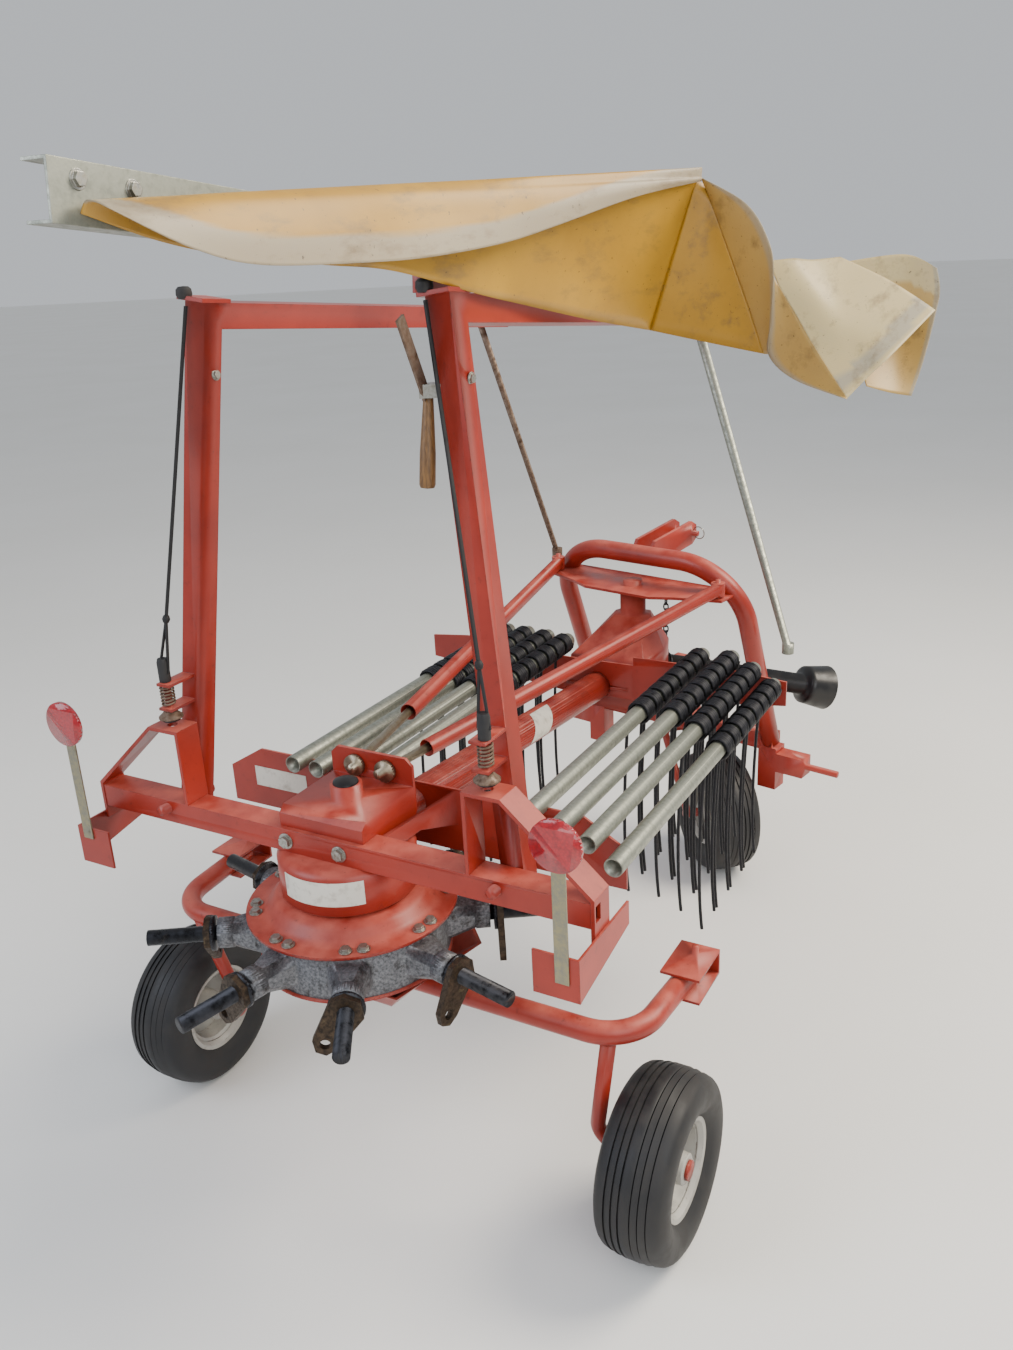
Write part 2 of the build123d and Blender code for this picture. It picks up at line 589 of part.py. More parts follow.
# Tyres and rims
HALF = TYRE_WIDTH / 2
TYRE_OUTLINE = [
    (RIM_RADIUS, -HALF + 24), (TYRE_RADIUS - 62, -HALF), (TYRE_RADIUS - 26, -HALF + 5), (TYRE_RADIUS - 6, -HALF + 26),
    (TYRE_RADIUS, -HALF + 56), (TYRE_RADIUS, HALF - 56), (TYRE_RADIUS - 6, HALF - 26), (TYRE_RADIUS - 26, HALF - 5),
    (TYRE_RADIUS - 62, HALF), (RIM_RADIUS, HALF - 24),
]
RIM_OUTER = RIM_RADIUS - SEAT
RIM_OUTLINE = [
    (AXLE_RADIUS + RUNNING_FIT, -HUB_LENGTH / 2), (HUB_RADIUS, -HUB_LENGTH / 2), (HUB_RADIUS, -4),
    (RIM_OUTER - 7, -4), (RIM_OUTER - 7, -HALF + 26), (RIM_OUTER, -HALF + 26), (RIM_OUTER, HALF - 26), (RIM_OUTER - 7, HALF - 26),
    (RIM_OUTER - 7, 4), (HUB_RADIUS, 4), (HUB_RADIUS, HUB_LENGTH / 2), (AXLE_RADIUS + RUNNING_FIT, HUB_LENGTH / 2),
]
WHEELS = {
    "left": (Vector(0, WHEEL_Y, TYRE_RADIUS), Vector(0, 1, 0)),
    "right": (Vector(0, -WHEEL_Y, TYRE_RADIUS), Vector(0, 1, 0)),
    "castor": (castor_centre, castor_axle),
}
for name, (centre, axle) in WHEELS.items():
    with BuildPart() as tyre:
        add(turned(centre, tuple(axle), TYRE_OUTLINE))
    save(tyre, f"tyre_{name}")
    with BuildPart() as rim:
        add(turned(centre, tuple(axle), RIM_OUTLINE))
    save(rim, f"rim_{name}")

# Castor fork: two legs from the axle up to a crown, with the spindle above
CROWN_Z = 432
COLLAR_BOTTOM_Z = 450
COLLAR_TOP_Z = 600
FORK_HALF = TYRE_WIDTH / 2 + 24
with BuildPart() as castor_fork:
    crown = Vector(castor_pivot.X, castor_pivot.Y, CROWN_Z)
    pieces = []
    for end in (-1, 1):
        foot = castor_centre + castor_axle * end * FORK_HALF
        shoulder = crown + castor_axle * end * FORK_HALF
        pieces.append(bent_tube([foot, shoulder, crown], 13, 24))
    reach = FORK_HALF + 14
    pieces.append(rod(castor_centre - castor_axle * reach, castor_centre + castor_axle * reach, AXLE_RADIUS))
    pieces.append(rod(crown - UP * 13, Vector(crown.X, crown.Y, COLLAR_TOP_Z + 12), SPINDLE_RADIUS))
    pieces.append(rod(Vector(crown.X, crown.Y, COLLAR_TOP_Z + 6), Vector(crown.X, crown.Y, COLLAR_TOP_Z + 14), SPINDLE_RADIUS + 12))
    pieces.append(rod(crown - UP * 6, Vector(crown.X, crown.Y, COLLAR_BOTTOM_Z - SEAT), SPINDLE_RADIUS + 14))
    add(pieces)
save(castor_fork, "castor_fork")


def hoop_path():
    """The hoop's corners; its legs lean back as they rise."""
    crown_x = HOOP_FOOT[0] - (HOOP_CROWN_Z - HOOP_FOOT[1]) * HOOP_LEAN
    return [
        on_head(HOOP_FOOT[0], HOOP_HALF, HOOP_FOOT[1]), on_head(crown_x, HOOP_HALF, HOOP_CROWN_Z),
        on_head(crown_x, -HOOP_HALF, HOOP_CROWN_Z), on_head(HOOP_FOOT[0], -HOOP_HALF, HOOP_FOOT[1]),
    ]


# Headstock hoop
with BuildPart() as headstock_hoop:
    add(bent_tube(hoop_path(), HOOP_RADIUS, HOOP_BEND))
save(headstock_hoop, "headstock_hoop")

hoop_clearance = bent_tube(hoop_path(), HOOP_RADIUS + SEAT, HOOP_BEND)

# Swivel plate under the hoop's crown, and the dampers' front pins
with BuildPart() as swivel_plate:
    with BuildSketch(Plane(origin=on_head(0, 0, TOP_PLATE_Z), x_dir=HEAD_X, z_dir=UP)):
        with BuildLine():
            Polyline(
                (-92, -120), (-58, -190), (-14, -325), (104, -325), (104, 325), (-14, 325), (-58, 190), (-92, 120), close=True,
            )
        make_face()
        Circle(SWIVEL_PIN_RADIUS + RUNNING_FIT, mode=Mode.SUBTRACT)
    extrude(amount=8)
    pins = []
    for side in SIDES.values():
        x, y, z = DAMPER_FRONT
        pins.append(rod(on_head(x, side * y, TOP_PLATE_Z + 4), on_head(x, side * y, z + 30), DAMPER_EYE_RADIUS))
    add(pins)
    add(hoop_clearance, mode=Mode.SUBTRACT)
save(swivel_plate, "swivel_plate")

# Lower frame: foot blocks, cross beam, lower swivel plate, castor collar and lower-link pins
with BuildPart() as lower_frame:
    half = HOOP_HALF
    pieces = [
        block(on_head(CROSS_X, 0, CROSS_Z), (CROSS_SIZE, 2 * half + 40, CROSS_SIZE), x_dir=HEAD_X),
        block(on_head(150, 0, LOWER_PLATE_Z + 5), (390, 100, 10), x_dir=HEAD_X),
        block(on_head(CROSS_X, 0, (LOWER_PLATE_Z + CROSS_Z) / 2), (50, 70, LOWER_PLATE_Z - CROSS_Z + 4), x_dir=HEAD_X),
        rod(on_head(CASTOR_X, 0, COLLAR_BOTTOM_Z), on_head(CASTOR_X, 0, COLLAR_TOP_Z), SPINDLE_RADIUS + 12),
        block(on_head((CROSS_X + CASTOR_X) / 2, 0, 520), (CASTOR_X - CROSS_X, 40, 120), x_dir=HEAD_X),
    ]
    for side in SIDES.values():
        pieces.append(block(on_head(CROSS_X, side * (half + 4), 395), (60, 64, 146), x_dir=HEAD_X))
        pieces.append(block(on_head(CROSS_X, side * (half + 80), LINK_Z), (60, 100, 64), x_dir=HEAD_X))
        pieces.append(rod(on_head(CROSS_X, side * (half + 120), LINK_Z), on_head(CROSS_X, side * 580, LINK_Z), LINK_PIN_RADIUS))
    add(pieces)
    add([
        hoop_clearance,
        rod(on_head(0, 0, LOWER_PLATE_Z - 20), on_head(0, 0, LOWER_PLATE_Z + 30), 20 + RUNNING_FIT),
        rod(on_head(CASTOR_X, 0, COLLAR_BOTTOM_Z - 20), on_head(CASTOR_X, 0, COLLAR_TOP_Z + 20), SPINDLE_RADIUS + RUNNING_FIT),
    ], mode=Mode.SUBTRACT)
save(lower_frame, "lower_frame")

# Top-link plates and their pin
with BuildPart() as top_link_plates:
    outline = [(32, 1102), (72, 1166), (286, 1186), (314, 1170), (314, 1126), (290, 1110), (110, 1092)]
    pieces = []
    for y in (-32, 32):
        plane = Plane(origin=on_head(0, y, 0), x_dir=HEAD_X, z_dir=-HEAD_Y)
        pieces.append(sheet(plane, outline, 12))
    pieces.append(rod(on_head(TOP_PIN_X, -58, TOP_PIN_Z), on_head(TOP_PIN_X, 52, TOP_PIN_Z), TOP_PIN_RADIUS))
    add(pieces)
    add(hoop_clearance, mode=Mode.SUBTRACT)
save(top_link_plates, "top_link_plates")

# Drive shaft and its guard
pto_start = on_head(0, 0, PTO_Z)
pto_flat = HEAD_X * cos(radians(PTO_HEADING)) + HEAD_Y * sin(radians(PTO_HEADING))
pto_direction = pto_flat * cos(radians(PTO_DROP)) - UP * sin(radians(PTO_DROP))
BELL_START = PTO_LENGTH - 100
with BuildPart() as pto_guard:
    add(turned(pto_start, tuple(pto_direction), [
        (PTO_GUARD_RADIUS - 5, 70), (PTO_GUARD_RADIUS, 70), (PTO_GUARD_RADIUS, BELL_START), (PTO_BELL_RADIUS - 12, BELL_START + 12),
        (PTO_BELL_RADIUS, PTO_LENGTH), (PTO_BELL_RADIUS - 5, PTO_LENGTH), (PTO_BELL_RADIUS - 18, BELL_START + 18), (PTO_GUARD_RADIUS - 5, BELL_START + 8),
    ]))
save(pto_guard, "pto_guard")

with BuildPart() as pto_shaft:
    end = PTO_LENGTH + 8
    bearing = PTO_GUARD_RADIUS - 5 - RUNNING_FIT
    add(turned(pto_start, tuple(pto_direction), [
        (0, 30), (24, 30), (24, 90), (bearing, 90), (bearing, 110), (24, 110), (24, BELL_START - 40), (bearing, BELL_START - 40),
        (bearing, BELL_START - 20), (24, BELL_START - 20), (24, BELL_START + 20), (32, BELL_START + 40), (32, end), (PTO_BORE_RADIUS, end), (PTO_BORE_RADIUS, end - 60), (0, end - 60),
    ]))
save(pto_shaft, "pto_shaft")

# Dampers
for name, side in SIDES.items():
    sizes = DAMPERS[name]
    rear, front = damper_ends(side)
    along = (front - rear).normalized()
    length = (front - rear).length
    open_end = length - sizes["tube"]
    depth = sizes["inserted"] + sizes["stroke"] + 20
    with BuildPart() as damper_rod:
        washers = [rod((rear.X + s * 5.5, rear.Y, rear.Z), (rear.X + s * 17, rear.Y, rear.Z), 24) for s in (-1, 1)]
        add([rod(rear - along * 34, rear + along * (open_end + sizes["inserted"]), DAMPER_ROD_RADIUS)] + washers)
    save(damper_rod, f"damper_rod_{name}")
    with BuildPart() as damper_tube:
        add([rod(rear + along * open_end, front - along * 12, DAMPER_TUBE_RADIUS), rod(front - UP * 20, front + UP * 20, 21)])
        add([
            rod(rear + along * (open_end - 1), rear + along * (open_end + depth), DAMPER_BORE_RADIUS),
            rod(front - UP * 40, front + UP * 40, DAMPER_EYE_RADIUS + RUNNING_FIT),
        ], mode=Mode.SUBTRACT)
    save(damper_tube, f"damper_tube_{name}")

# Curtain arm's channel, laid over the right guard
right_post_top = fold_point(RIGHT) + guard_directions(RIGHT)[1] * POST_LENGTH
CHANNEL_REAR = right_post_top + Vector(-829, 2, 161)
CHANNEL_DIRECTION = Vector(1, 0.03, -0.1)
CHANNEL_LENGTH = 1750
CHANNEL_WIDTH = 40
CHANNEL_HEIGHT = 70
CHANNEL_WALL = 4
SADDLE = 40

# Guards: post, side bar, hinge pin, latch lugs and top flange
LATCH_PIN_RADIUS = 8
LATCH_PIN_GAP = 8
for name, side in SIDES.items():
    fold, post, out = guard_directions(side)
    base = fold_point(side)
    with BuildPart() as guard:
        half = POST_SIZE / 2
        post_start = base - post * half
        pieces = []
        with BuildSketch(Plane(origin=post_start, x_dir=fold, z_dir=post)) as section:
            Rectangle(POST_SIZE, POST_SIZE)
        pieces.append(extrude(section.sketch, amount=POST_LENGTH + half, mode=Mode.PRIVATE))
        bar_start = base + post * (POST_LENGTH - half)
        with BuildSketch(Plane(origin=bar_start, x_dir=out, z_dir=fold)) as section:
            Rectangle(POST_SIZE, POST_SIZE)
        pieces.append(extrude(section.sketch, amount=BAR_LENGTH + half, mode=Mode.PRIVATE))
        pieces.append(rod(fold_point(side, -112), fold_point(side, 44), GUARD_PIN_RADIUS))
        for z in (BRACKET_TOP_Z + 40, BRACKET_TOP_Z + 96):
            post_y = side * (GUARD_FOLD[1] - (z - GUARD_FOLD[2]) * sin(radians(GUARD_LEAN)))
            pieces.append(block((BEAM_X / 2 + GUARD_FOLD[0] / 2 - 8, (post_y + side * LATCH_Y) / 2, z), (abs(BEAM_X - GUARD_FOLD[0]) + 18, 36, 6)))
        latch_foot = BRACKET_TOP_Z + LATCH_PIN_GAP
        pieces.append(rod((BEAM_X, side * LATCH_Y, latch_foot), (BEAM_X, side * LATCH_Y, BRACKET_TOP_Z + 150), LATCH_PIN_RADIUS))
        flange = base + post * (POST_LENGTH + 4)
        pieces.append(block(flange, (80, 66, 8.2), x_dir=fold, z_dir=post))
        if name == "right":
            saddle_x = flange.X + 2
            under = CHANNEL_REAR + CHANNEL_DIRECTION * (saddle_x - CHANNEL_REAR.X)
            rise = UP * (CHANNEL_HEIGHT / 2 + SEAT + SADDLE / 2)
            pieces.append(block(under - rise, (70, 34, SADDLE), x_dir=CHANNEL_DIRECTION, z_dir=Vector(0.1, 0, 1)))
        add(pieces)
    save(guard, f"guard_{name}")

# Stays, each hung outside a guard's side bar with its lower end free of the hoop
STAYS = {
    "left": dict(from_bar_end=45, foot=(1668, 400, 1042), radius=9),
    "right": dict(from_bar_end=45, foot=(1465, -480, 867), radius=12),
}
for name, place in STAYS.items():
    side = SIDES[name]
    fold, post, out = guard_directions(side)
    reach = POST_SIZE / 2 + place["radius"] + 3 * SEAT
    top = fold_point(side, BAR_LENGTH - place["from_bar_end"]) + post * (POST_LENGTH - 30) + out * reach
    with BuildPart() as stay:
        foot = Vector(*place["foot"])
        add([rod(top, foot, place["radius"]), rod(foot - UP * 16, foot + UP * 16, 18)])
    save(stay, f"stay_{name}")

# Curtain arm: a galvanised channel above the right guard
with BuildPart() as curtain_arm:
    with BuildSketch(Plane(origin=CHANNEL_REAR, x_dir=(0, 1, 0), z_dir=CHANNEL_DIRECTION)):
        Rectangle(CHANNEL_WIDTH, CHANNEL_HEIGHT)
        with Locations((CHANNEL_WALL, 0)):
            Rectangle(CHANNEL_WIDTH, CHANNEL_HEIGHT - 2 * CHANNEL_WALL, mode=Mode.SUBTRACT)
    extrude(amount=CHANNEL_LENGTH)
save(curtain_arm, "curtain_arm")

# Curtain: a stiff cloth folded over the channel, its front corner thrown out to the right
CLOTH = 4
# Each row is from the channel's rear end: how far forward, then the places across and up of four corners
CURTAIN_SECTIONS = (
    (36, (-67, -22), (-43, -16), (-28, -16), (-23.4, -26)),
    (276, (-70, -92), (-47, -14), (-22, -12), (-16.1, -78)),
    (676, (-71, -94), (-49, -6), (-15, -2), (-4.6, -106)),
    (876, (-99, -68), (-85, 0), (-55, 6), (-43, -146)),
    (1016, (-135, -50), (-129, 6), (-101, 10), (-47, -194)),
    (1476, (-225, 10), (-235, 24), (-215, 26), (-117, -304)),
)
with BuildPart() as curtain:
    sections = []
    for x, near, near_top, far_top, far in CURTAIN_SECTIONS:
        outline = [
            (near[0] - CLOTH, near[1]), (near_top[0] - CLOTH, near_top[1] + CLOTH), (far_top[0] + CLOTH, far_top[1] + CLOTH), (far[0] + CLOTH, far[1]),
            far, far_top, near_top, near,
        ]
        across_machine = Plane(origin=CHANNEL_REAR + Vector(x, 0, 0), x_dir=(0, 1, 0), z_dir=(1, 0, 0))
        sections.append((across_machine, outline))
    add(prism_loft(sections))
    inner_edge = (CHANNEL_REAR + Vector(1472, -223, 18), CHANNEL_REAR + Vector(1516, -125, -310))
    outer_edge = (CHANNEL_REAR + Vector(1556, -653, -207), CHANNEL_REAR + Vector(1312, -560, -361))
    fold_sections = []
    for high, low in (inner_edge, outer_edge):
        across = (inner_edge[0] - outer_edge[0]).normalized()
        middle = (high + low) * 0.5
        plane = Plane(origin=middle, x_dir=(high - low), z_dir=(high - low).cross(across).cross(high - low))
        half = (high - low).length / 2
        fold_sections.append((plane, [(-half, -CLOTH / 2), (half, -CLOTH / 2), (half, CLOTH / 2), (-half, CLOTH / 2)]))
    add(prism_loft(fold_sections))
save(curtain, "curtain")

# Chain that carries the drive shaft's guard from the swivel plate
with BuildPart() as pto_chain:
    hang = 118
    eye = pto_start + pto_direction * hang
    ring = turned(eye - pto_direction * CHAIN_WIRE, tuple(pto_direction), [
        (PTO_GUARD_RADIUS + SEAT, 0), (PTO_GUARD_RADIUS + 9, 0), (PTO_GUARD_RADIUS + 9, 2 * CHAIN_WIRE), (PTO_GUARD_RADIUS + SEAT, 2 * CHAIN_WIRE),
    ])
    top = Vector(eye.X, eye.Y, TOP_PLATE_Z - SEAT)
    add([ring, rod(eye + UP * (PTO_GUARD_RADIUS + 4), top, CHAIN_WIRE)])
save(pto_chain, "pto_chain")
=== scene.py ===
"""Looks for a three-point mounted rotary rake, parked on its wheels with guards folded and arms stowed.

Metres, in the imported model's own frame: X forward to the headstock, Y to the machine's left, Z up.
"""

import json
import math

import bmesh
import bpy
from mathutils import Matrix, Vector


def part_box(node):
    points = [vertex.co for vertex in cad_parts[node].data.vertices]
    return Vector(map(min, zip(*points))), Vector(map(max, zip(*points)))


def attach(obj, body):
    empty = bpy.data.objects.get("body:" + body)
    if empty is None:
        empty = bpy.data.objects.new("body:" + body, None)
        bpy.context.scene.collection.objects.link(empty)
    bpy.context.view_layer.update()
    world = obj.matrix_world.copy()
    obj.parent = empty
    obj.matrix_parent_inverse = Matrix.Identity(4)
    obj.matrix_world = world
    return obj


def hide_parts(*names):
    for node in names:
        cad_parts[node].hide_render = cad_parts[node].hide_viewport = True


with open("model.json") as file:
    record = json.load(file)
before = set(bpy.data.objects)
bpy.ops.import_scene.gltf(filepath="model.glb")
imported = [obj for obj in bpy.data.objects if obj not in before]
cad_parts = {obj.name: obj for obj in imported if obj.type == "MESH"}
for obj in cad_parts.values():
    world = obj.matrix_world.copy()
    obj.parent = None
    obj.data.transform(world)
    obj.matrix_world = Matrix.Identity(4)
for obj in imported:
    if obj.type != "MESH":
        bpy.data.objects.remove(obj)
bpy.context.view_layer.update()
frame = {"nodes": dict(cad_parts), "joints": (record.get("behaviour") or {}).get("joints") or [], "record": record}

# Places below are given from the point on the ground midway between the rear wheels
REAR_WHEELS = Vector((-0.539, 0.097, 0))
UP = Vector((0, 0, 1))


def at(x, y, z):
    """A place given from the rear wheels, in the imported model's frame."""
    return REAR_WHEELS + Vector((x, y, z))


# Camera: where the photograph was taken from
PHOTO_HEIGHT = 1350
FOCAL_PIXELS = 1158.6
SENSOR = 36
CAMERA_PLACE = at(-1.834, -1.392, 2.075)
CAMERA_YAW = math.radians(30.0)
CAMERA_PITCH = math.radians(20.64)
CAMERA_ROLL = math.radians(-2.98)
NEAR_CLIP = 0.05
FAR_CLIP = 60

forward = Vector((
    math.cos(CAMERA_PITCH) * math.cos(CAMERA_YAW),
    math.cos(CAMERA_PITCH) * math.sin(CAMERA_YAW),
    -math.sin(CAMERA_PITCH),
))
level = Vector((math.sin(CAMERA_YAW), -math.cos(CAMERA_YAW), 0))
rise = level.cross(forward)
across = level * math.cos(CAMERA_ROLL) + rise * math.sin(CAMERA_ROLL)
upward = rise * math.cos(CAMERA_ROLL) - level * math.sin(CAMERA_ROLL)

camera_data = bpy.data.cameras.new("camera")
camera_data.sensor_width = SENSOR
camera_data.lens = FOCAL_PIXELS * SENSOR / PHOTO_HEIGHT
camera_data.clip_start = NEAR_CLIP
camera_data.clip_end = FAR_CLIP
camera = bpy.data.objects.new("camera", camera_data)
camera.matrix_world = Matrix((
    (across.x, upward.x, -forward.x, CAMERA_PLACE.x),
    (across.y, upward.y, -forward.y, CAMERA_PLACE.y),
    (across.z, upward.z, -forward.z, CAMERA_PLACE.z),
    (0, 0, 0, 1),
))
bpy.context.scene.collection.objects.link(camera)
bpy.context.scene.camera = camera


# Materials
def linear(code):
    """An sRGB hex colour as linear red, green, blue and full alpha."""
    parts = [int(code[i:i + 2], 16) / 255 for i in (1, 3, 5)]
    return [p / 12.92 if p <= 0.04045 else ((p + 0.055) / 1.055) ** 2.4 for p in parts] + [1]


def add(tree, kind, feeds=None, **settings):
    """Adds a node: settings are its attributes, and feeds what its inputs take, a value, a socket or a node."""
    made = tree.nodes.new(kind)
    for name, value in settings.items():
        setattr(made, name, value)
    for key, value in (feeds or {}).items():
        if isinstance(value, bpy.types.Node):
            value = value.outputs[0]
        if isinstance(value, bpy.types.NodeSocket):
            tree.links.new(value, made.inputs[key])
        else:
            made.inputs[key].default_value = value
    return made


def finish(name, **sockets):
    """A new material, its shader with these values set, and its pattern's coordinates."""
    material = bpy.data.materials.new(name)
    material.use_nodes = True
    tree = material.node_tree
    shader = tree.nodes["Principled BSDF"]
    for key, value in sockets.items():
        shader.inputs[key.replace("_", " ")].default_value = value
    place = add(tree, "ShaderNodeTexCoord")
    return material, tree, shader, place


def blotches(tree, place, size, low, high, detail=4, rough=0.55, stretch=None):
    """A noise mask from 0 to 1 between low and high, its blobs about size metres wide."""
    where = place.outputs["Object"]
    if stretch:
        where = add(tree, "ShaderNodeMapping", {"Vector": where, "Scale": stretch}).outputs[0]
    noise = add(tree, "ShaderNodeTexNoise", {
        "Vector": where, "Scale": 1 / size, "Detail": detail, "Roughness": rough,
    })
    return add(tree, "ShaderNodeMapRange", {
        "Value": noise.outputs[0], "From Min": low, "From Max": high,
    }).outputs[0]


def lay_over(tree, mask, under, over, share=1):
    """A colour laid over another where the mask is 1, by a share of it; each is a hex code or a socket."""
    if share < 1:
        mask = add(tree, "ShaderNodeMath", {0: mask, 1: share}, operation="MULTIPLY")
    under, over = (
        colour if isinstance(colour, bpy.types.NodeSocket) else linear(colour) for colour in (under, over)
    )
    return add(tree, "ShaderNodeMix", {"Factor": mask, 6: under, 7: over}, data_type="RGBA").outputs[2]


def edge_mask(tree, radius, low, high):
    """1 along outer and inner edges within a radius, and the rounded normal itself."""
    round_normal = add(tree, "ShaderNodeBevel", {"Radius": radius}, samples=4).outputs[0]
    true_normal = add(tree, "ShaderNodeNewGeometry").outputs["Normal"]
    likeness = add(tree, "ShaderNodeVectorMath", {0: round_normal, 1: true_normal}, operation="DOT_PRODUCT")
    mask = add(tree, "ShaderNodeMapRange", {
        "Value": likeness.outputs["Value"], "From Min": high, "From Max": low,
    }).outputs[0]
    return mask, round_normal


def upward_mask(tree, place, low, high):
    """1 on faces that look up."""
    parts = add(tree, "ShaderNodeSeparateXYZ", {0: place.outputs["Normal"]})
    return add(tree, "ShaderNodeMapRange", {
        "Value": parts.outputs[2], "From Min": low, "From Max": high,
    }).outputs[0]


def roughen(tree, shader, mask, low, high):
    """Roughness that follows a mask, from low to high."""
    tree.links.new(add(tree, "ShaderNodeMapRange", {
        "Value": mask, "To Min": low, "To Max": high,
    }).outputs[0], shader.inputs["Roughness"])


def relief(tree, shader, height, depth, strength, normal=None):
    """Fine relief of a depth in metres, on the rounded normal where one is given."""
    feeds = {"Height": height, "Distance": depth, "Strength": strength}
    if normal:
        feeds["Normal"] = normal
    tree.links.new(add(tree, "ShaderNodeBump", feeds).outputs[0], shader.inputs["Normal"])


RED_GRIME = "#4a2015"


def enamel(name, body, faded, shade, chip):
    """Sprayed enamel: paler on faces that look up, partly chalked paint and partly a painted highlight, grimed in
    patches, chipped to rust on its edges.
    """
    material, tree, shader, place = finish(name, IOR=1.5, Specular_IOR_Level=0.45)
    colour = lay_over(tree, blotches(tree, place, 0.16, 0.35, 0.7, detail=5), body, shade)
    # Faces that look up go paler and rougher in patches: partly chalked paint, partly a painted highlight on the
    # tops
    top_chalk_and_highlight = add(tree, "ShaderNodeMath", {
        0: upward_mask(tree, place, 0.35, 0.95), 1: blotches(tree, place, 0.07, 0.3, 0.62),
    }, operation="MULTIPLY").outputs[0]
    colour = lay_over(tree, top_chalk_and_highlight, colour, faded)
    grime = blotches(tree, place, 0.02, 0.6, 0.74, detail=8, rough=0.7)
    colour = lay_over(tree, grime, colour, RED_GRIME, share=0.6)
    edge, normal = edge_mask(tree, 0.0022, 0.9, 0.985)
    worn = add(tree, "ShaderNodeMath", {
        0: edge, 1: blotches(tree, place, 0.018, 0.5, 0.6, detail=6),
    }, operation="MULTIPLY")
    specks = add(tree, "ShaderNodeMath", {
        0: blotches(tree, place, 0.006, 0.7, 0.74, detail=3), 1: 0.7,
    }, operation="MULTIPLY")
    bare = add(tree, "ShaderNodeMath", {0: worn, 1: specks}, operation="MAXIMUM")
    tree.links.new(lay_over(tree, bare, colour, chip), shader.inputs["Base Color"])
    roughen(tree, shader, top_chalk_and_highlight, 0.33, 0.55)
    # The spray's orange peel is about 1 mm across, and is drawn as 4 mm dimples so that it shows
    relief(tree, shader, blotches(tree, place, 0.004, 0, 1, detail=2), 0.0004, 0.25, normal)
    return material


def metal(name, body, dark, size, roughness, spread, stain="#3a2c22", stain_from=0.62, metallic=1.0):
    """Bare or plated metal: its own mottling of a size in metres, dirt over it, and a roughness that follows."""
    material, tree, shader, place = finish(name, Metallic=metallic)
    mottle = blotches(tree, place, size, 0.35, 0.65, detail=5, rough=0.6)
    colour = lay_over(tree, mottle, body, dark)
    dirt = blotches(tree, place, 0.03, stain_from, stain_from + 0.12, detail=7, rough=0.65)
    tree.links.new(lay_over(tree, dirt, colour, stain, share=0.75), shader.inputs["Base Color"])
    roughen(tree, shader, mottle, roughness, roughness + spread)
    normal = edge_mask(tree, 0.0015, 0.9, 0.98)[1]
    # Its grit or scale is under 1 mm, and is drawn at a third of the mottling's size so that it shows
    relief(tree, shader, blotches(tree, place, size / 3, 0, 1), 0.0003, 0.3, normal)
    return material


# Enamel on pressed and welded steel: brick red, paler where it faces up by chalking and a painted highlight,
# duller in patches
red = enamel("red_enamel_sprayed", "#9c2e20", "#b65748", "#822319", "#3a2018")
# Enamel on the rims: pale grey, dusty, paler where it faces up by chalking and a painted highlight
rim_grey = enamel("grey_enamel_sprayed", "#a9a7a0", "#bdbab2", "#8d8a83", "#4b3a2c")
# Hot-dip zinc on tube: a spangle of pale and dark grey crystals about 12 mm across
zinc = metal(
    "zinc_hot_dipped", "#9fa195", "#86897f", 0.012, 0.38, 0.2,
    stain="#6a6350", stain_from=0.64, metallic=0.85,
)
# Spring steel dipped black: near black with a soft shine along the coils
spring_black = metal(
    "spring_steel_black_dipped", "#131316", "#26262b", 0.01, 0.34, 0.2, stain="#3a332c", metallic=0.55,
)
# Turned steel under old grease: almost black, glossy where a hand or a tube has rubbed it
greased = metal(
    "turned_steel_greased", "#1b1b1e", "#3c3d42", 0.02, 0.22, 0.3, stain="#4a4138", metallic=0.8,
)
# Aluminium sand casting: dull mid grey, grainy, with dark dirt in patches
cast_grey = metal(
    "aluminium_sand_cast", "#85868a", "#5d5e61", 0.006, 0.5, 0.2,
    stain="#2c2620", stain_from=0.54, metallic=0.75,
)
# Iron casting: brown with old oil over light rust
cast_brown = metal(
    "iron_cast_oiled", "#4a3b2c", "#2b231c", 0.008, 0.45, 0.25, stain="#77694c", metallic=0.6,
)
# Bare round bar: brown surface rust over grey
rusty_bar = metal(
    "steel_bar_rusted", "#7b6a5c", "#5c4636", 0.015, 0.5, 0.25,
    stain="#3e2a1c", stain_from=0.55, metallic=0.6,
)
# Drawn rod: bright, tarnished in patches
bright_rod = metal("steel_rod_drawn", "#a79c88", "#84765f", 0.03, 0.3, 0.2, stain="#5b4a34", metallic=0.9)
# Yellow zinc plate on flat strip: faded brass with white bloom
yellow_zinc = metal(
    "zinc_plate_yellow", "#9b9373", "#8b887c", 0.01, 0.36, 0.2, stain="#4f4328", metallic=0.85,
)
# Bright zinc plate on bolts and nuts: clean light grey
bolt_zinc = metal(
    "zinc_plate_bolts", "#b0b0aa", "#8e8b80", 0.006, 0.28, 0.2, stain="#6a5138", metallic=0.95,
)


def plastic(name, body, dust, roughness, size=0.05):
    """Moulded plastic or rubber with a film of dust."""
    material, tree, shader, place = finish(name, IOR=1.49)
    film = blotches(tree, place, size, 0.45, 0.75, detail=6)
    tree.links.new(lay_over(tree, film, body, dust, share=0.5), shader.inputs["Base Color"])
    roughen(tree, shader, film, roughness, roughness + 0.25)
    # The mould's grain is under 1 mm, and is drawn as 3 mm so that it shows
    relief(tree, shader, blotches(tree, place, 0.003, 0, 1, detail=2), 0.0003, 0.2)
    return material


# Vulcanised rubber: black gone grey with road dust in patches
rubber = plastic("rubber_vulcanised", "#18181a", "#3d3a37", 0.55)
# Blow-moulded polythene guard: deep black, a soft shine
guard_black = plastic("polythene_blow_moulded", "#0c0c0e", "#2c2a28", 0.36)
# Twisted polypropylene rope
rope_black = plastic("polypropylene_rope", "#0d0d0f", "#262422", 0.6, size=0.02)


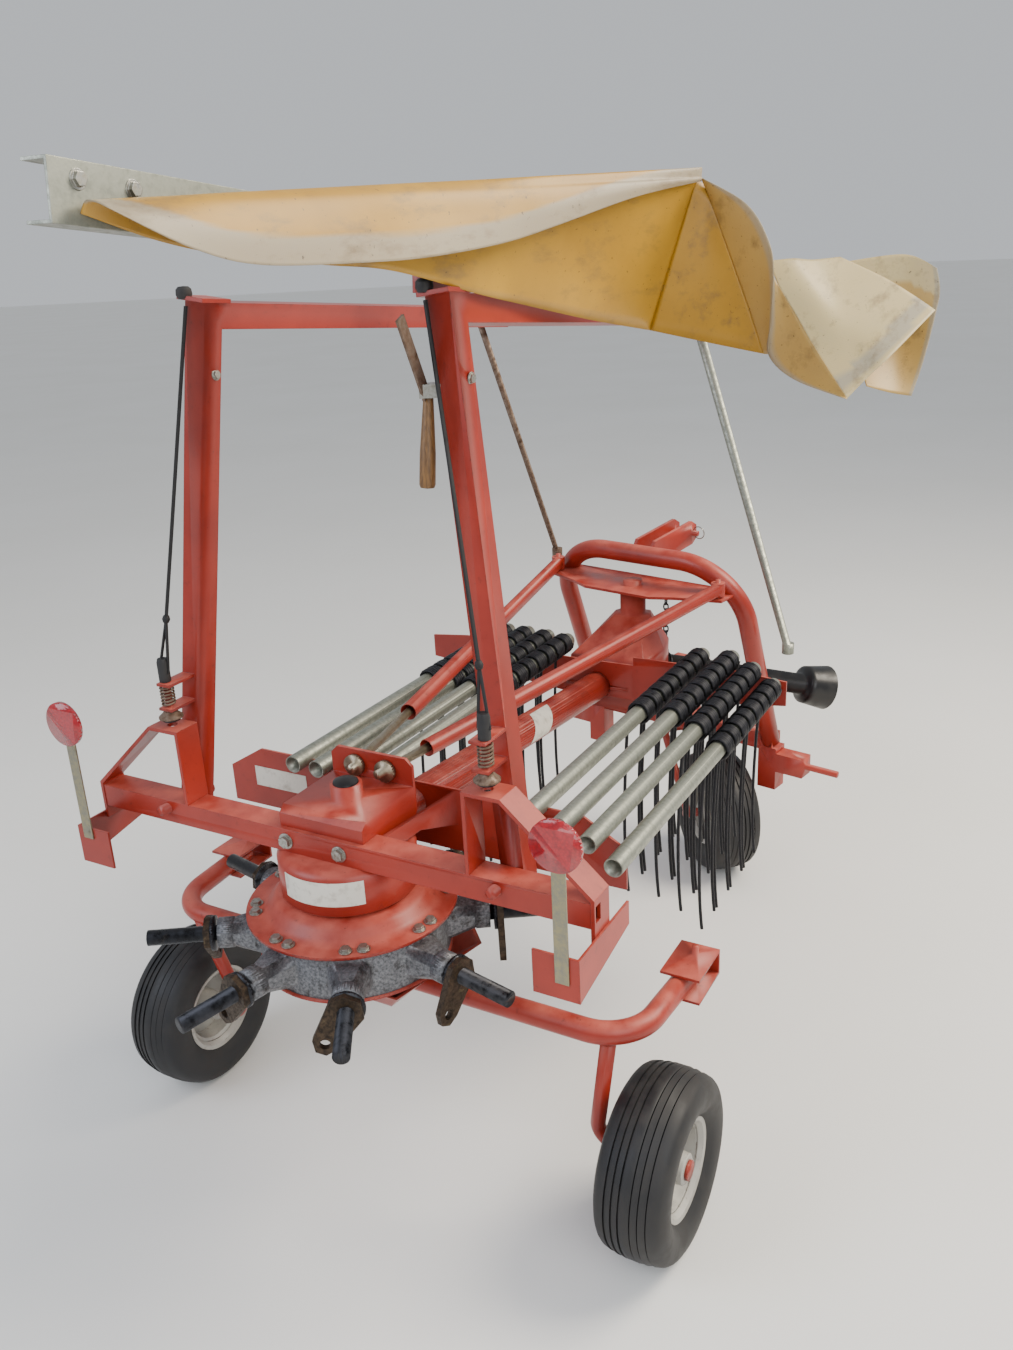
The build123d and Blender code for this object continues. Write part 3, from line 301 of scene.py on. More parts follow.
def oiled_ash():
    """Ash handle, oiled: straight brown grain, 3 mm wide, along its length, which hangs upright."""
    material, tree, shader, place = finish("ash_handle_oiled", IOR=1.5, Roughness=0.5)
    grain = blotches(tree, place, 0.02, 0.35, 0.65, detail=6, stretch=(6, 6, 0.6))
    tree.links.new(lay_over(tree, grain, "#7d5a30", "#553a1e"), shader.inputs["Base Color"])
    return material


wood = oiled_ash()


LENS_CELL = 0.005


def reflector_red():
    """Moulded acrylic reflector: saturated red over 3 mm cells, drawn as 5 mm ones to show, faded in patches."""
    material, tree, shader, place = finish(
        "acrylic_reflector_moulded", Roughness=0.16, IOR=1.49, Coat_Weight=0.6,
    )
    cells = add(tree, "ShaderNodeTexVoronoi", {"Vector": place.outputs["Object"], "Scale": 1 / LENS_CELL})
    colour = lay_over(tree, cells.outputs["Distance"], "#b3081a", "#7c0613")
    faded = blotches(tree, place, 0.03, 0.5, 0.75)
    tree.links.new(lay_over(tree, faded, colour, "#c9303c", share=0.4), shader.inputs["Base Color"])
    relief(tree, shader, cells.outputs["Distance"], 0.0006, 0.4)
    return material


lens = reflector_red()


def vinyl(name, body, dirt):
    """Vinyl label left blank: sun-yellowed, dirty in patches."""
    material, tree, shader, place = finish(name, Roughness=0.4, IOR=1.5)
    soil = blotches(tree, place, 0.02, 0.5, 0.75, detail=7)
    tree.links.new(lay_over(tree, soil, body, dirt, share=0.6), shader.inputs["Base Color"])
    return material


label_white = vinyl("vinyl_label_white", "#d9d5c8", "#8f8574")


# The threads lie 1 mm apart, and are drawn as 3.8 mm ones so that they show: a Wave repeats at 0.314 of its size
WEAVE = 0.012


def coated_cloth():
    """PVC-coated polyester: yellow, bleached where its tone says, its hem a pale strip, smeared and specked."""
    material, tree, shader, place = finish(
        "pvc_coated_polyester", IOR=1.48, Roughness=0.46, Subsurface_Weight=0.12,
        Subsurface_Radius=(0.01, 0.006, 0.002),
    )
    hem = add(tree, "ShaderNodeAttribute", attribute_name="hem").outputs["Fac"]
    tone = add(tree, "ShaderNodeAttribute", attribute_name="tone").outputs["Fac"]
    colour = lay_over(tree, blotches(tree, place, 0.22, 0.35, 0.7, detail=5), "#b98c28", "#a37922")
    colour = lay_over(tree, tone, colour, "#bfae80")
    colour = lay_over(tree, hem, colour, "#989282", share=0.8)
    smear = blotches(tree, place, 0.05, 0.53, 0.70, detail=8, rough=0.7, stretch=(0.35, 1, 1))
    colour = lay_over(tree, smear, colour, "#6f5a3b", share=0.65)
    specks = blotches(tree, place, 0.007, 0.69, 0.74, detail=2)
    colour = lay_over(tree, specks, colour, "#3f3222", share=0.7)
    tree.links.new(colour, shader.inputs["Base Color"])
    weave = add(tree, "ShaderNodeTexWave", {
        "Vector": place.outputs["Object"], "Scale": 1 / WEAVE, "Distortion": 0.4,
    })
    relief(tree, shader, weave.outputs[1], 0.0003, 0.12)
    return material


cloth = coated_cloth()


# Shared makers
def piece(name, vertices, faces, material, body, smooth=True, sharp=35):
    """A mesh piece in the machine's frame that rides on a body, with its faces turned outwards."""
    mesh = bpy.data.meshes.new(name)
    mesh.from_pydata([tuple(v) for v in vertices], [], faces)
    work = bmesh.new()
    work.from_mesh(mesh)
    bmesh.ops.remove_doubles(work, verts=work.verts, dist=1e-6)
    bmesh.ops.recalc_face_normals(work, faces=work.faces)
    work.to_mesh(mesh)
    work.free()
    return placed(name, mesh, material, body, smooth, sharp)


def placed(name, mesh, material, body, smooth=True, sharp=35):
    """A mesh as a piece that rides on a body, shaded smoothly but for edges sharper than an angle in degrees."""
    mesh.materials.clear()
    mesh.materials.append(material)
    mesh.polygons.foreach_set("use_smooth", [smooth] * len(mesh.polygons))
    if smooth:
        mesh.set_sharp_from_angle(angle=math.radians(sharp))
    made = bpy.data.objects.new(name, mesh)
    bpy.context.scene.collection.objects.link(made)
    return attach(made, body)


def turn(outline, centre, axis, segments, closed=False):
    """Vertices and faces of an outline of (radius, distance) turned about an axis through a centre."""
    centre, axis = Vector(centre), Vector(axis).normalized()
    side = axis.orthogonal().normalized()
    other = axis.cross(side)
    vertices, faces = [], []
    for step in range(segments):
        angle = 2 * math.pi * step / segments
        radial = side * math.cos(angle) + other * math.sin(angle)
        vertices += [centre + axis * along + radial * radius for radius, along in outline]
    count = len(outline)
    for step in range(segments):
        here, there = step * count, (step + 1) % segments * count
        for i in range(count if closed else count - 1):
            j = (i + 1) % count
            faces.append((here + i, here + j, there + j, there + i))
    return vertices, faces


def gather(parts):
    """Several (vertices, faces) as one."""
    vertices, faces = [], []
    for part_vertices, part_faces in parts:
        start = len(vertices)
        vertices += part_vertices
        faces += [tuple(i + start for i in face) for face in part_faces]
    return vertices, faces


def made_mesh(holder):
    """What a curve or a modified object comes out as, as a plain mesh."""
    bpy.context.scene.collection.objects.link(holder)
    bpy.context.view_layer.update()
    mesh = bpy.data.meshes.new_from_object(holder.evaluated_get(bpy.context.evaluated_depsgraph_get()))
    bpy.data.objects.remove(holder)
    return mesh


def pipe(points, radius):
    """Vertices and faces of an eight-sided bar along points, through Blender's own curve."""
    data = bpy.data.curves.new("path", "CURVE")
    data.dimensions = "3D"
    data.bevel_depth = radius
    data.bevel_resolution = 1
    data.use_fill_caps = True
    spline = data.splines.new("POLY")
    spline.points.add(len(points) - 1)
    for point, place in zip(spline.points, points):
        point.co = (*place, 1)
    mesh = made_mesh(bpy.data.objects.new("path", data))
    return [v.co.copy() for v in mesh.vertices], [tuple(p.vertices) for p in mesh.polygons]


def new_tree(name, inputs):
    """A tree with these inputs, as (name, kind, value), and a finish; its inputs' sockets and its output node."""
    tree = bpy.data.node_groups.new(name, "GeometryNodeTree")
    tree.interface.new_socket("Geometry", in_out="INPUT", socket_type="NodeSocketGeometry")
    for label, kind, value in inputs:
        tree.interface.new_socket(label, in_out="INPUT", socket_type=kind).default_value = value
    tree.interface.new_socket("Finish", in_out="INPUT", socket_type="NodeSocketMaterial")
    tree.interface.new_socket("Geometry", in_out="OUTPUT", socket_type="NodeSocketGeometry")
    return tree, add(tree, "NodeGroupInput").outputs, add(tree, "NodeGroupOutput")


def close_tree(tree, given, out, instances):
    """Ends a tree: its instances made real and given the tree's finish."""
    real = add(tree, "GeometryNodeRealizeInstances", {"Geometry": instances})
    finished = add(tree, "GeometryNodeSetMaterial", {"Geometry": real, "Material": given["Finish"]})
    tree.links.new(finished.outputs[0], out.inputs[0])


def run_tree(name, tree, mesh, material, body, sharp=35):
    """Runs a tree on a mesh with a material as its finish and keeps the result as a plain mesh piece."""
    holder = bpy.data.objects.new(name + "_source", mesh)
    modifier = holder.modifiers.new("made", "NODES")
    modifier.node_group = tree
    for item in tree.interface.items_tree:
        if item.in_out == "INPUT" and item.name == "Finish":
            modifier[item.identifier] = material
        elif item.in_out == "INPUT" and item.name != "Geometry":
            modifier[item.identifier] = item.default_value
    result = made_mesh(holder)
    result.name = name
    return placed(name, result, material, body, sharp=sharp)


def points_mesh(name, rows):
    """A mesh of bare points with a direction and a size each, from rows of (place, direction, size)."""
    mesh = bpy.data.meshes.new(name)
    mesh.from_pydata([tuple(place) for place, direction, size in rows], [], [])
    for label, kind in (("facing", "FLOAT_VECTOR"), ("size", "FLOAT")):
        mesh.attributes.new(label, kind, "POINT")
    directions = [part for place, direction, size in rows for part in Vector(direction).normalized()]
    mesh.attributes["facing"].data.foreach_set("vector", directions)
    mesh.attributes["size"].data.foreach_set("value", [size for place, direction, size in rows])
    return mesh


# Bolts: a washer and a hexagon head, set on points and turned to face outwards
WASHER_THICKNESS = 0.0025
CORNERS_PER_FLATS = 0.577
bolt_tree, bolt_given, bolt_out = new_tree("hexagon_bolts", [
    ("Across flats", "NodeSocketFloat", 0.018), ("Head height", "NodeSocketFloat", 0.008),
    ("Washer radius", "NodeSocketFloat", 0.014),
])
hexagon_radius = add(bolt_tree, "ShaderNodeMath", {
    0: bolt_given["Across flats"], 1: CORNERS_PER_FLATS,
}, operation="MULTIPLY")
hexagon = add(bolt_tree, "GeometryNodeMeshCylinder", {
    "Vertices": 6, "Radius": hexagon_radius, "Depth": bolt_given["Head height"],
})
washer = add(bolt_tree, "GeometryNodeMeshCylinder", {
    "Vertices": 20, "Radius": bolt_given["Washer radius"], "Depth": WASHER_THICKNESS,
})
half_head = add(bolt_tree, "ShaderNodeMath", {0: bolt_given["Head height"], 1: 0.5}, operation="MULTIPLY")
head_place = add(bolt_tree, "ShaderNodeCombineXYZ", {"Z": half_head})
raised = add(bolt_tree, "GeometryNodeTransform", {"Geometry": hexagon, "Translation": head_place})
both = add(bolt_tree, "GeometryNodeJoinGeometry")
for bolt_piece in (raised, washer):
    bolt_tree.links.new(bolt_piece.outputs[0], both.inputs[0])
facing = add(bolt_tree, "GeometryNodeInputNamedAttribute", {"Name": "facing"}, data_type="FLOAT_VECTOR")
size = add(bolt_tree, "GeometryNodeInputNamedAttribute", {"Name": "size"}, data_type="FLOAT")
turned_to = add(bolt_tree, "FunctionNodeAlignRotationToVector", {"Vector": facing}, axis="Z")
set_bolts = add(bolt_tree, "GeometryNodeInstanceOnPoints", {
    "Points": bolt_given["Geometry"], "Instance": both, "Rotation": turned_to, "Scale": size,
})
close_tree(bolt_tree, bolt_given, bolt_out, set_bolts)


def bolts(name, rows, body):
    """Hexagon heads with washers at rows of (place, direction, size)."""
    return run_tree(name, bolt_tree, points_mesh(name + "_points", rows), bolt_zinc, body, sharp=20)


# CAD nodes' finishes
FINISHES = {
    red: (
        "chassis_tube", "chassis_clasps", "wheel_legs", "rotor_column", "gearbox_housing", "rear_beam",
        "end_brackets", "strip_holders", "gearbox_bracket", "rear_rack_plate", "main_tube", "front_box",
        "rotor_shell", "castor_fork", "headstock_hoop", "swivel_plate", "lower_frame", "top_link_plates",
        "damper_tube_left", "damper_tube_right", "guard_left", "guard_right",
    ),
    zinc: ("stowed_arm_tubes", "stay_right", "curtain_arm"),
    cast_grey: ("arm_castings",),
    greased: ("arm_stubs", "pto_shaft"),
    cast_brown: ("arm_levers",),
    rusty_bar: ("stay_left",),
    bright_rod: ("damper_rod_left", "damper_rod_right"),
    yellow_zinc: ("reflector_strips",),
    guard_black: ("pto_guard",),
    lens: ("reflectors",),
}
MERGE_WITHIN = 2e-5
body_of_node = {
    node: body for body, members in frame["record"]["behaviour"]["bodies"].items() for node in members
}


def joint_named(name):
    """A joint's row in the frame."""
    return [joint for joint in frame["joints"] if joint["name"] == name][0]


def refinish(node, material):
    """A CAD node's own shape with its vertices merged, so that its round faces shade smoothly."""
    mesh = frame["nodes"][node].data.copy()
    work = bmesh.new()
    work.from_mesh(mesh)
    bmesh.ops.remove_doubles(work, verts=work.verts, dist=MERGE_WITHIN)
    work.to_mesh(mesh)
    work.free()
    made = placed(node + "_finished", mesh, material, body_of_node[node], sharp=30)
    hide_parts(node)


for material, nodes in FINISHES.items():
    for node in nodes:
        refinish(node, material)

# Wheels: ribbed tyres on dished rims, as body and the side that the rim's face is on
WHEELS = {
    "left": ("wheel_left", 1), "right": ("wheel_right", -1), "castor": ("castor_wheel", 1),
}
# Half of the tyre's section from its bead to the crown's first rib, as (radius, distance from the middle)
TYRE_WALL = (
    (0.104, 0.056), (0.114, 0.062), (0.125, 0.072), (0.140, 0.0785), (0.158, 0.0815), (0.174, 0.0795),
    (0.186, 0.0735), (0.1905, 0.070),
)
# The ribs' edges from there to the middle, with a groove after every second one
TYRE_RIBS = (
    (0.1965, 0.062), (0.2005, 0.0475), (0.1985, 0.0445), (0.2035, 0.0305), (0.2015, 0.0275),
    (0.2047, 0.0145), (0.2030, 0.0115),
)
TYRE_MIDDLE = (0.2044, 0.009)
GROOVE_DEPTH = 0.006
GROOVE_DRAFT = 0.0006
# The rim's lip, well and dished wheel disc, from the outer lip round by the hub and back
RIM_OUTLINE = (
    (0.102, 0.060), (0.112, 0.062), (0.113, 0.058), (0.104, 0.052), (0.092, 0.046), (0.090, 0.020),
    (0.086, 0.012), (0.070, 0.010), (0.052, 0.018), (0.040, 0.020), (0.036, 0.024), (0.034, 0.058),
    (0.030, 0.061), (0.0145, 0.061), (0.0145, -0.059), (0.030, -0.059), (0.034, -0.056), (0.036, 0.012),
    (0.050, 0.010), (0.070, 0.002), (0.086, 0.004), (0.086, -0.040), (0.098, -0.050), (0.113, -0.058),
    (0.112, -0.062), (0.102, -0.060), (0.094, -0.048), (0.094, 0.050),
)
WHEEL_SHARP = 32
NUT_COUNT = 5
NUT_CIRCLE = 0.062
NUT_PLANE = 0.016
NUT_SIZE = 0.75


def tyre_outline():
    """The tyre's whole section: bead, bulged wall, shoulder and grooved crown, and the same mirrored."""
    half = list(TYRE_WALL)
    for index, (radius, along) in enumerate(TYRE_RIBS):
        half.append((radius, along))
        if index % 2:
            floor_radius, next_along = radius - GROOVE_DEPTH, TYRE_RIBS[index + 1][1]
            half += [(floor_radius, along - GROOVE_DRAFT), (floor_radius, next_along + GROOVE_DRAFT)]
    half.append(TYRE_MIDDLE)
    return half + [(radius, -along) for radius, along in reversed(half)]


for name, (body, side) in WHEELS.items():
    joint = joint_named(body + "_spin")
    centre, axle = Vector(joint["pos_m"]), Vector(joint["axis"])
    outwards = axle * side
    tyre_form = turn(tyre_outline(), centre, axle, 96, closed=True)
    tyre = piece(f"tyre_{name}_ribbed", *tyre_form, rubber, body, sharp=WHEEL_SHARP)
    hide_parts(f"tyre_{name}")
    rim_form = turn(RIM_OUTLINE, centre, outwards, 72, closed=True)
    rim = piece(f"rim_{name}_dished", *rim_form, rim_grey, body, sharp=WHEEL_SHARP)
    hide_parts(f"rim_{name}")
    spoke = axle.orthogonal().normalized()
    nuts = []
    for step in range(NUT_COUNT):
        turned = Matrix.Rotation(2 * math.pi * step / NUT_COUNT, 3, axle) @ spoke
        nuts.append((centre + outwards * NUT_PLANE + turned * NUT_CIRCLE, outwards, NUT_SIZE))
    bolts(f"rim_{name}_nuts", nuts, body)

# Stowed tines: two coils round the tube and two long legs, bowed a little out at the knee
KNEE_OUT = 0.026
KNEE_SHARE = 0.66
TIP_OUT = 0.006
tine_tree, given, tine_out = new_tree("double_tines", [
    ("Coil radius", "NodeSocketFloat", 0.0275), ("Turns", "NodeSocketFloat", 4.5),
    ("Coil length", "NodeSocketFloat", 0.04), ("Wire radius", "NodeSocketFloat", 0.0045),
    ("Drop", "NodeSocketFloat", 0.52), ("Gap", "NodeSocketFloat", 0.016),
    ("Wire sides", "NodeSocketInt", 7),
])
halves = add(tine_tree, "GeometryNodeJoinGeometry")
for end in (-1, 1):
    spiral = add(tine_tree, "GeometryNodeCurveSpiral", {
        "Resolution": 14, "Rotations": given["Turns"], "Start Radius": given["Coil radius"],
        "End Radius": given["Coil radius"], "Height": given["Coil length"],
    })
    flat = add(tine_tree, "GeometryNodeTransform", {
        "Geometry": spiral, "Rotation": (end * math.pi / 2, 0, math.pi / 2),
    })
    coil_x = add(tine_tree, "ShaderNodeMath", {0: given["Gap"], 1: end * 0.5}, operation="MULTIPLY")
    coil_place = add(tine_tree, "ShaderNodeCombineXYZ", {"X": coil_x})
    coil = add(tine_tree, "GeometryNodeTransform", {"Geometry": flat, "Translation": coil_place})
    tine_tree.links.new(coil.outputs[0], halves.inputs[0])
    outer = add(tine_tree, "ShaderNodeMath", {
        0: given["Gap"], 1: 0.5, 2: given["Coil length"],
    }, operation="MULTIPLY_ADD")
    leg_x = add(tine_tree, "ShaderNodeMath", {0: outer, 1: end}, operation="MULTIPLY")
    knee_y = add(tine_tree, "ShaderNodeMath", {0: given["Coil radius"], 1: KNEE_OUT}, operation="ADD")
    knee_z = add(tine_tree, "ShaderNodeMath", {0: given["Drop"], 1: -KNEE_SHARE}, operation="MULTIPLY")
    tip_y = add(tine_tree, "ShaderNodeMath", {0: given["Coil radius"], 1: TIP_OUT}, operation="ADD")
    tip_z = add(tine_tree, "ShaderNodeMath", {0: given["Drop"], 1: -1}, operation="MULTIPLY")
    leg = add(tine_tree, "GeometryNodeCurveQuadraticBezier", {
        "Resolution": 14,
        "Start": add(tine_tree, "ShaderNodeCombineXYZ", {"X": leg_x, "Y": given["Coil radius"]}),
        "Middle": add(tine_tree, "ShaderNodeCombineXYZ", {"X": leg_x, "Y": knee_y, "Z": knee_z}),
        "End": add(tine_tree, "ShaderNodeCombineXYZ", {"X": leg_x, "Y": tip_y, "Z": tip_z}),
    })
    tine_tree.links.new(leg.outputs[0], halves.inputs[0])
wire = add(tine_tree, "GeometryNodeCurvePrimitiveCircle", {
    "Resolution": given["Wire sides"], "Radius": given["Wire radius"],
})
drawn = add(tine_tree, "GeometryNodeCurveToMesh", {
    "Curve": halves, "Profile Curve": wire, "Fill Caps": True,
})
hung = add(tine_tree, "GeometryNodeInstanceOnPoints", {"Points": given["Geometry"], "Instance": drawn})
close_tree(tine_tree, given, tine_out, hung)

# The eight stowed arms' places across the machine, and the tines' places along them
ARM_YZ = (
    (0.293, 0.943), (0.225, 0.943), (0.158, 0.940), (0.092, 0.935),
    (-0.333, 0.943), (-0.420, 0.947), (-0.482, 0.920), (-0.540, 0.880),
)
TINE_X = (0.700, 0.815, 0.930, 1.045)
tine_rows = [(at(x, y, z), UP, 1) for x in TINE_X for y, z in ARM_YZ]
tine_points = points_mesh("tine_points", tine_rows)
tines = run_tree("stowed_tines_coiled", tine_tree, tine_points, spring_black, "frame", sharp=60)
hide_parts("stowed_tines")

# Curtain: coated cloth laid over its channel, its front end curled round and its corner thrown out to the right
# Each section: x, then the cloth's line from its near hem over the channel to its far hem, as (y, z), all in mm
CURTAIN_SECTIONS = (
    (-840, ((-342, 2128), (-330, 2133), (-318, 2136), (-308, 2136), (-298, 2124))),
    (-720, ((-345, 2082), (-337, 2114), (-319, 2137), (-300, 2137), (-293, 2092))),
    (-600, ((-346, 2058), (-340, 2100), (-322, 2139), (-297, 2140), (-291, 2072))),
    (-400, ((-350, 2052), (-342, 2100), (-324, 2144), (-293, 2146), (-286, 2052))),
    (-200, ((-352, 2053), (-340, 2104), (-324, 2150), (-290, 2152), (-280, 2034))),
    (0, ((-376, 2068), (-368, 2112), (-354, 2153), (-326, 2155), (-316, 1986))),
    (140, ((-410, 2093), (-406, 2128), (-394, 2157), (-374, 2158), (-322, 1960))),
    (380, ((-456, 2137), (-458, 2152), (-452, 2164), (-432, 2162), (-354, 1912))),
    (600, ((-503, 2164), (-506, 2168), (-504, 2171), (-494, 2166), (-390, 1873))),
)
# Panels beyond the saddle, each of lines from the channel's side outwards, of five points from top to bottom
FAR_END = (
    ((612, -503, 2160), (620, -508, 2086), (625, -514, 2007), (620, -519, 1928), (610, -523, 1845)),
    ((620, -509, 2144), (625, -541, 2061), (630, -573, 1978), (620, -609, 1898), (605, -643, 1823)),
)
FRONT_CURL = (
    FAR_END[-1],
    ((604, -503, 2168), (606, -572, 2094), (604, -616, 2014), (598, -642, 1931), (592, -655, 1824)),
    ((600, -505, 2170), (585, -604, 2116), (575, -654, 2047), (565, -671, 1976), (575, -661, 1826)),
)
LOWER_STRIP = (
    ((565, -671, 1976), (570, -666, 1893), (575, -661, 1826), (530, -727, 1782), (440, -856, 1757)),
    ((572, -674, 1966), (568, -692, 1898), (556, -712, 1836), (512, -769, 1790), (442, -857, 1757)),
    ((575, -672, 1968), (560, -716, 1909), (535, -758, 1856), (492, -808, 1804), (445, -857, 1758)),
)
THROWN_CORNER = (
    ((594, -652, 2006), (575, -678, 1960), (557, -722, 1902), (520, -777, 1833), (445, -856, 1757)),
    ((625, -692, 2008), (598, -736, 1955), (572, -782, 1898), (540, -834, 1841), (494, -885, 1794)),
    ((672, -718, 2003), (650, -764, 1961), (616, -813, 1916), (580, -864, 1869), (537, -915, 1828)),
    ((720, -762, 2005), (716, -814, 1982), (708, -867, 1957), (694, -919, 1928), (676, -966, 1900)),
)
BACK_FOLD = (
    ((760, -763, 1994), (730, -784, 1929), (690, -808, 1862), (630, -835, 1805), (570, -864, 1765)),
    ((800, -876, 2003), (770, -883, 1935), (740, -887, 1867), (690, -894, 1799), (630, -899, 1745)),
    ((780, -945, 1975), (770, -956, 1933), (750, -955, 1891), (700, -947, 1802), (660, -935, 1735)),
)
MM = 0.001
CLOTH_THICKNESS = 0.0012
HEM = 0.040
HEM_FADE = 0.004
# Tones, from 0 for new yellow to 1 for bleached
CURL_TONE = 0.22
CURL_TONE_GAIN = 0.2
STRIP_TONE = 0.3
CORNER_TONE = 0.95
FOLD_TOP = 0.06
FOLD_TOP_TONE = 0.9
FOLD_TONE = 0.35
# Hems: how strong the worn ones are, and where each panel's own starts or ends
WORN_HEM = 0.8
CURL_HEM_FROM = 0.8
STRIP_HEM_TO = 0.2
FOLD_HEM_FROM = 0.9
CORNER_HEM_FROM, CORNER_HEM_TO = 0.014, 0.05


def spline_at(rows, place):
    """A Catmull-Rom value between rows of vectors, at a place from 0 to the number of rows less one."""
    first = min(int(place), len(rows) - 2)
    t = place - first
    a, b = rows[max(first - 1, 0)], rows[first]
    c, d = rows[first + 1], rows[min(first + 2, len(rows) - 1)]
    return (b * 2 + (c - a) * t + (a * 2 - b * 5 + c * 4 - d) * t * t + (b * 3 - a - c * 3 + d) * t ** 3) * 0.5


def cloth_grid(lines, steps_along, steps_down):
    """Rows of points over a net of lines, smooth both ways."""
    grid = []
    for i in range(steps_along + 1):
        along = i * (len(lines) - 1) / steps_along
        line = [spline_at([row[k] for row in lines], along) for k in range(len(lines[0]))]
        grid.append([spline_at(line, j * (len(line) - 1) / steps_down) for j in range(steps_down + 1)])
    return grid


def cloth_mesh(name, panels):
    """One mesh of several panels, as (grid, tone, hem).

    Tone and hem are functions of the share of the way along the panel, the metres down from its top and the
    metres left to its foot.
    """
    vertices, faces, hem, tone = [], [], [], []
    for grid, tone_at, hem_at in panels:
        start, width = len(vertices), len(grid[0])
        for i, row in enumerate(grid):
            lengths = [0]
            for a, b in zip(row, row[1:]):
                lengths.append(lengths[-1] + (b - a).length)
            for j, point in enumerate(row):
                along, down, left = i / (len(grid) - 1), lengths[j], lengths[-1] - lengths[j]
                vertices.append(point)
                tone.append(tone_at(along, down, left))
                hem.append(hem_at(along, down, left))
        for i in range(len(grid) - 1):
            for j in range(width - 1):
                a = start + i * width + j
                faces.append((a, a + 1, a + width + 1, a + width))
    mesh = bpy.data.meshes.new(name)
    mesh.from_pydata([tuple(v) for v in vertices], [], faces)
    for label, values in (("hem", hem), ("tone", tone)):
        mesh.attributes.new(label, "FLOAT", "POINT").data.foreach_set("value", values)
    return mesh


def placed_lines(lines):
    """Lines of points in millimetres, placed."""
    return [[at(*(number * MM for number in point)) for point in line] for line in lines]


def nowhere(along, down, left):
    """No tone or no hem on the whole panel."""
    return 0


SADDLE_STEPS = 32
saddle_lines = [[(x, y, z) for y, z in line] for x, line in CURTAIN_SECTIONS]
saddle = cloth_grid(placed_lines(saddle_lines), 96, SADDLE_STEPS)
# The saddle's last line from its ridge down, at the five places where the next panel starts
seam = saddle[-1][SADDLE_STEPS * 3 // 4::SADDLE_STEPS // 16]
curtain_mesh = cloth_mesh("curtain_cloth", (
    (saddle, nowhere, lambda along, down, left: min(1, max(0, HEM - down) / HEM_FADE)),
    (cloth_grid([seam] + placed_lines(FAR_END), 16, SADDLE_STEPS // 4), nowhere, nowhere),
    (
        cloth_grid(placed_lines(FRONT_CURL), 12, 28),
        lambda along, down, left: CURL_TONE + CURL_TONE_GAIN * along,
        lambda along, down, left: WORN_HEM if along > CURL_HEM_FROM else 0,
    ),
    (
        cloth_grid(placed_lines(LOWER_STRIP), 8, 28),
        lambda along, down, left: STRIP_TONE,
        lambda along, down, left: WORN_HEM if along < STRIP_HEM_TO else 0,
    ),
    (
        cloth_grid(placed_lines(THROWN_CORNER), 30, 28),
        lambda along, down, left: CORNER_TONE,
        lambda along, down, left: 1 if CORNER_HEM_FROM < left < CORNER_HEM_TO else 0,
    ),
    (
        cloth_grid(placed_lines(BACK_FOLD), 24, 28),
        lambda along, down, left: FOLD_TOP_TONE if down < FOLD_TOP else FOLD_TONE,
        lambda along, down, left: WORN_HEM if along > FOLD_HEM_FROM else 0,
    ),
))
curtain = placed("curtain_cloth", curtain_mesh, cloth, "guard_right", sharp=180)
thickness = curtain.modifiers.new("thickness", "SOLIDIFY")
thickness.thickness = CLOTH_THICKNESS
thickness.offset = 0
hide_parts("curtain")

# Chain: oval links hung from the swivel plate, and their loop round the drive shaft's guard
CHAIN_WIRE = 0.0026
LINK_LENGTH = 0.024
LINK_PITCH = 0.0185
GUARD_RADIUS = 0.035
LOOP_CLEARANCE = 0.0006
chain_tree, chain_given, chain_out = new_tree("chain_links", [
    ("Wire radius", "NodeSocketFloat", CHAIN_WIRE), ("Link length", "NodeSocketFloat", LINK_LENGTH),
    ("Link width", "NodeSocketFloat", 0.015),
])
ring = add(chain_tree, "GeometryNodeCurvePrimitiveCircle", {"Resolution": 20, "Radius": 0.5})
upright = add(chain_tree, "GeometryNodeTransform", {"Geometry": ring, "Rotation": (0, math.pi / 2, 0)})
link_size = add(chain_tree, "ShaderNodeCombineXYZ", {
    "X": 1, "Y": chain_given["Link width"], "Z": chain_given["Link length"],
})
oval = add(chain_tree, "GeometryNodeTransform", {"Geometry": upright, "Scale": link_size})
thin = add(chain_tree, "GeometryNodeCurvePrimitiveCircle", {
    "Resolution": 8, "Radius": chain_given["Wire radius"],
})
one_link = add(chain_tree, "GeometryNodeCurveToMesh", {"Curve": oval, "Profile Curve": thin})
link_index = add(chain_tree, "GeometryNodeInputIndex")
quarter_turns = add(chain_tree, "ShaderNodeMath", {0: link_index, 1: math.pi / 2}, operation="MULTIPLY")
twist = add(chain_tree, "ShaderNodeCombineXYZ", {"Z": quarter_turns})
set_links = add(chain_tree, "GeometryNodeInstanceOnPoints", {
    "Points": chain_given["Geometry"], "Instance": one_link, "Rotation": twist,
})
close_tree(chain_tree, chain_given, chain_out, set_links)

# The spin joint's place is 743 mm along the shaft from its start, and the chain holds the guard at 118 mm
SHAFT_TO_JOINT = 0.743
SHAFT_TO_CHAIN = 0.118
pto_joint = joint_named("pto_spin")
pto_axis = Vector(pto_joint["axis"]).normalized()
eye = Vector(pto_joint["pos_m"]) - pto_axis * (SHAFT_TO_JOINT - SHAFT_TO_CHAIN)
chain_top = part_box("pto_chain")[1][2] - LINK_LENGTH / 2
chain_foot = eye.z + GUARD_RADIUS + LINK_LENGTH / 2
link_count = int((chain_top - chain_foot) / LINK_PITCH) + 1
link_rows = [((eye.x, eye.y, chain_foot + LINK_PITCH * k), UP, 1) for k in range(link_count)]
link_points = points_mesh("link_points", link_rows)
links = run_tree("pto_chain_links", chain_tree, link_points, greased, "headstock", sharp=60)
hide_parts("pto_chain")


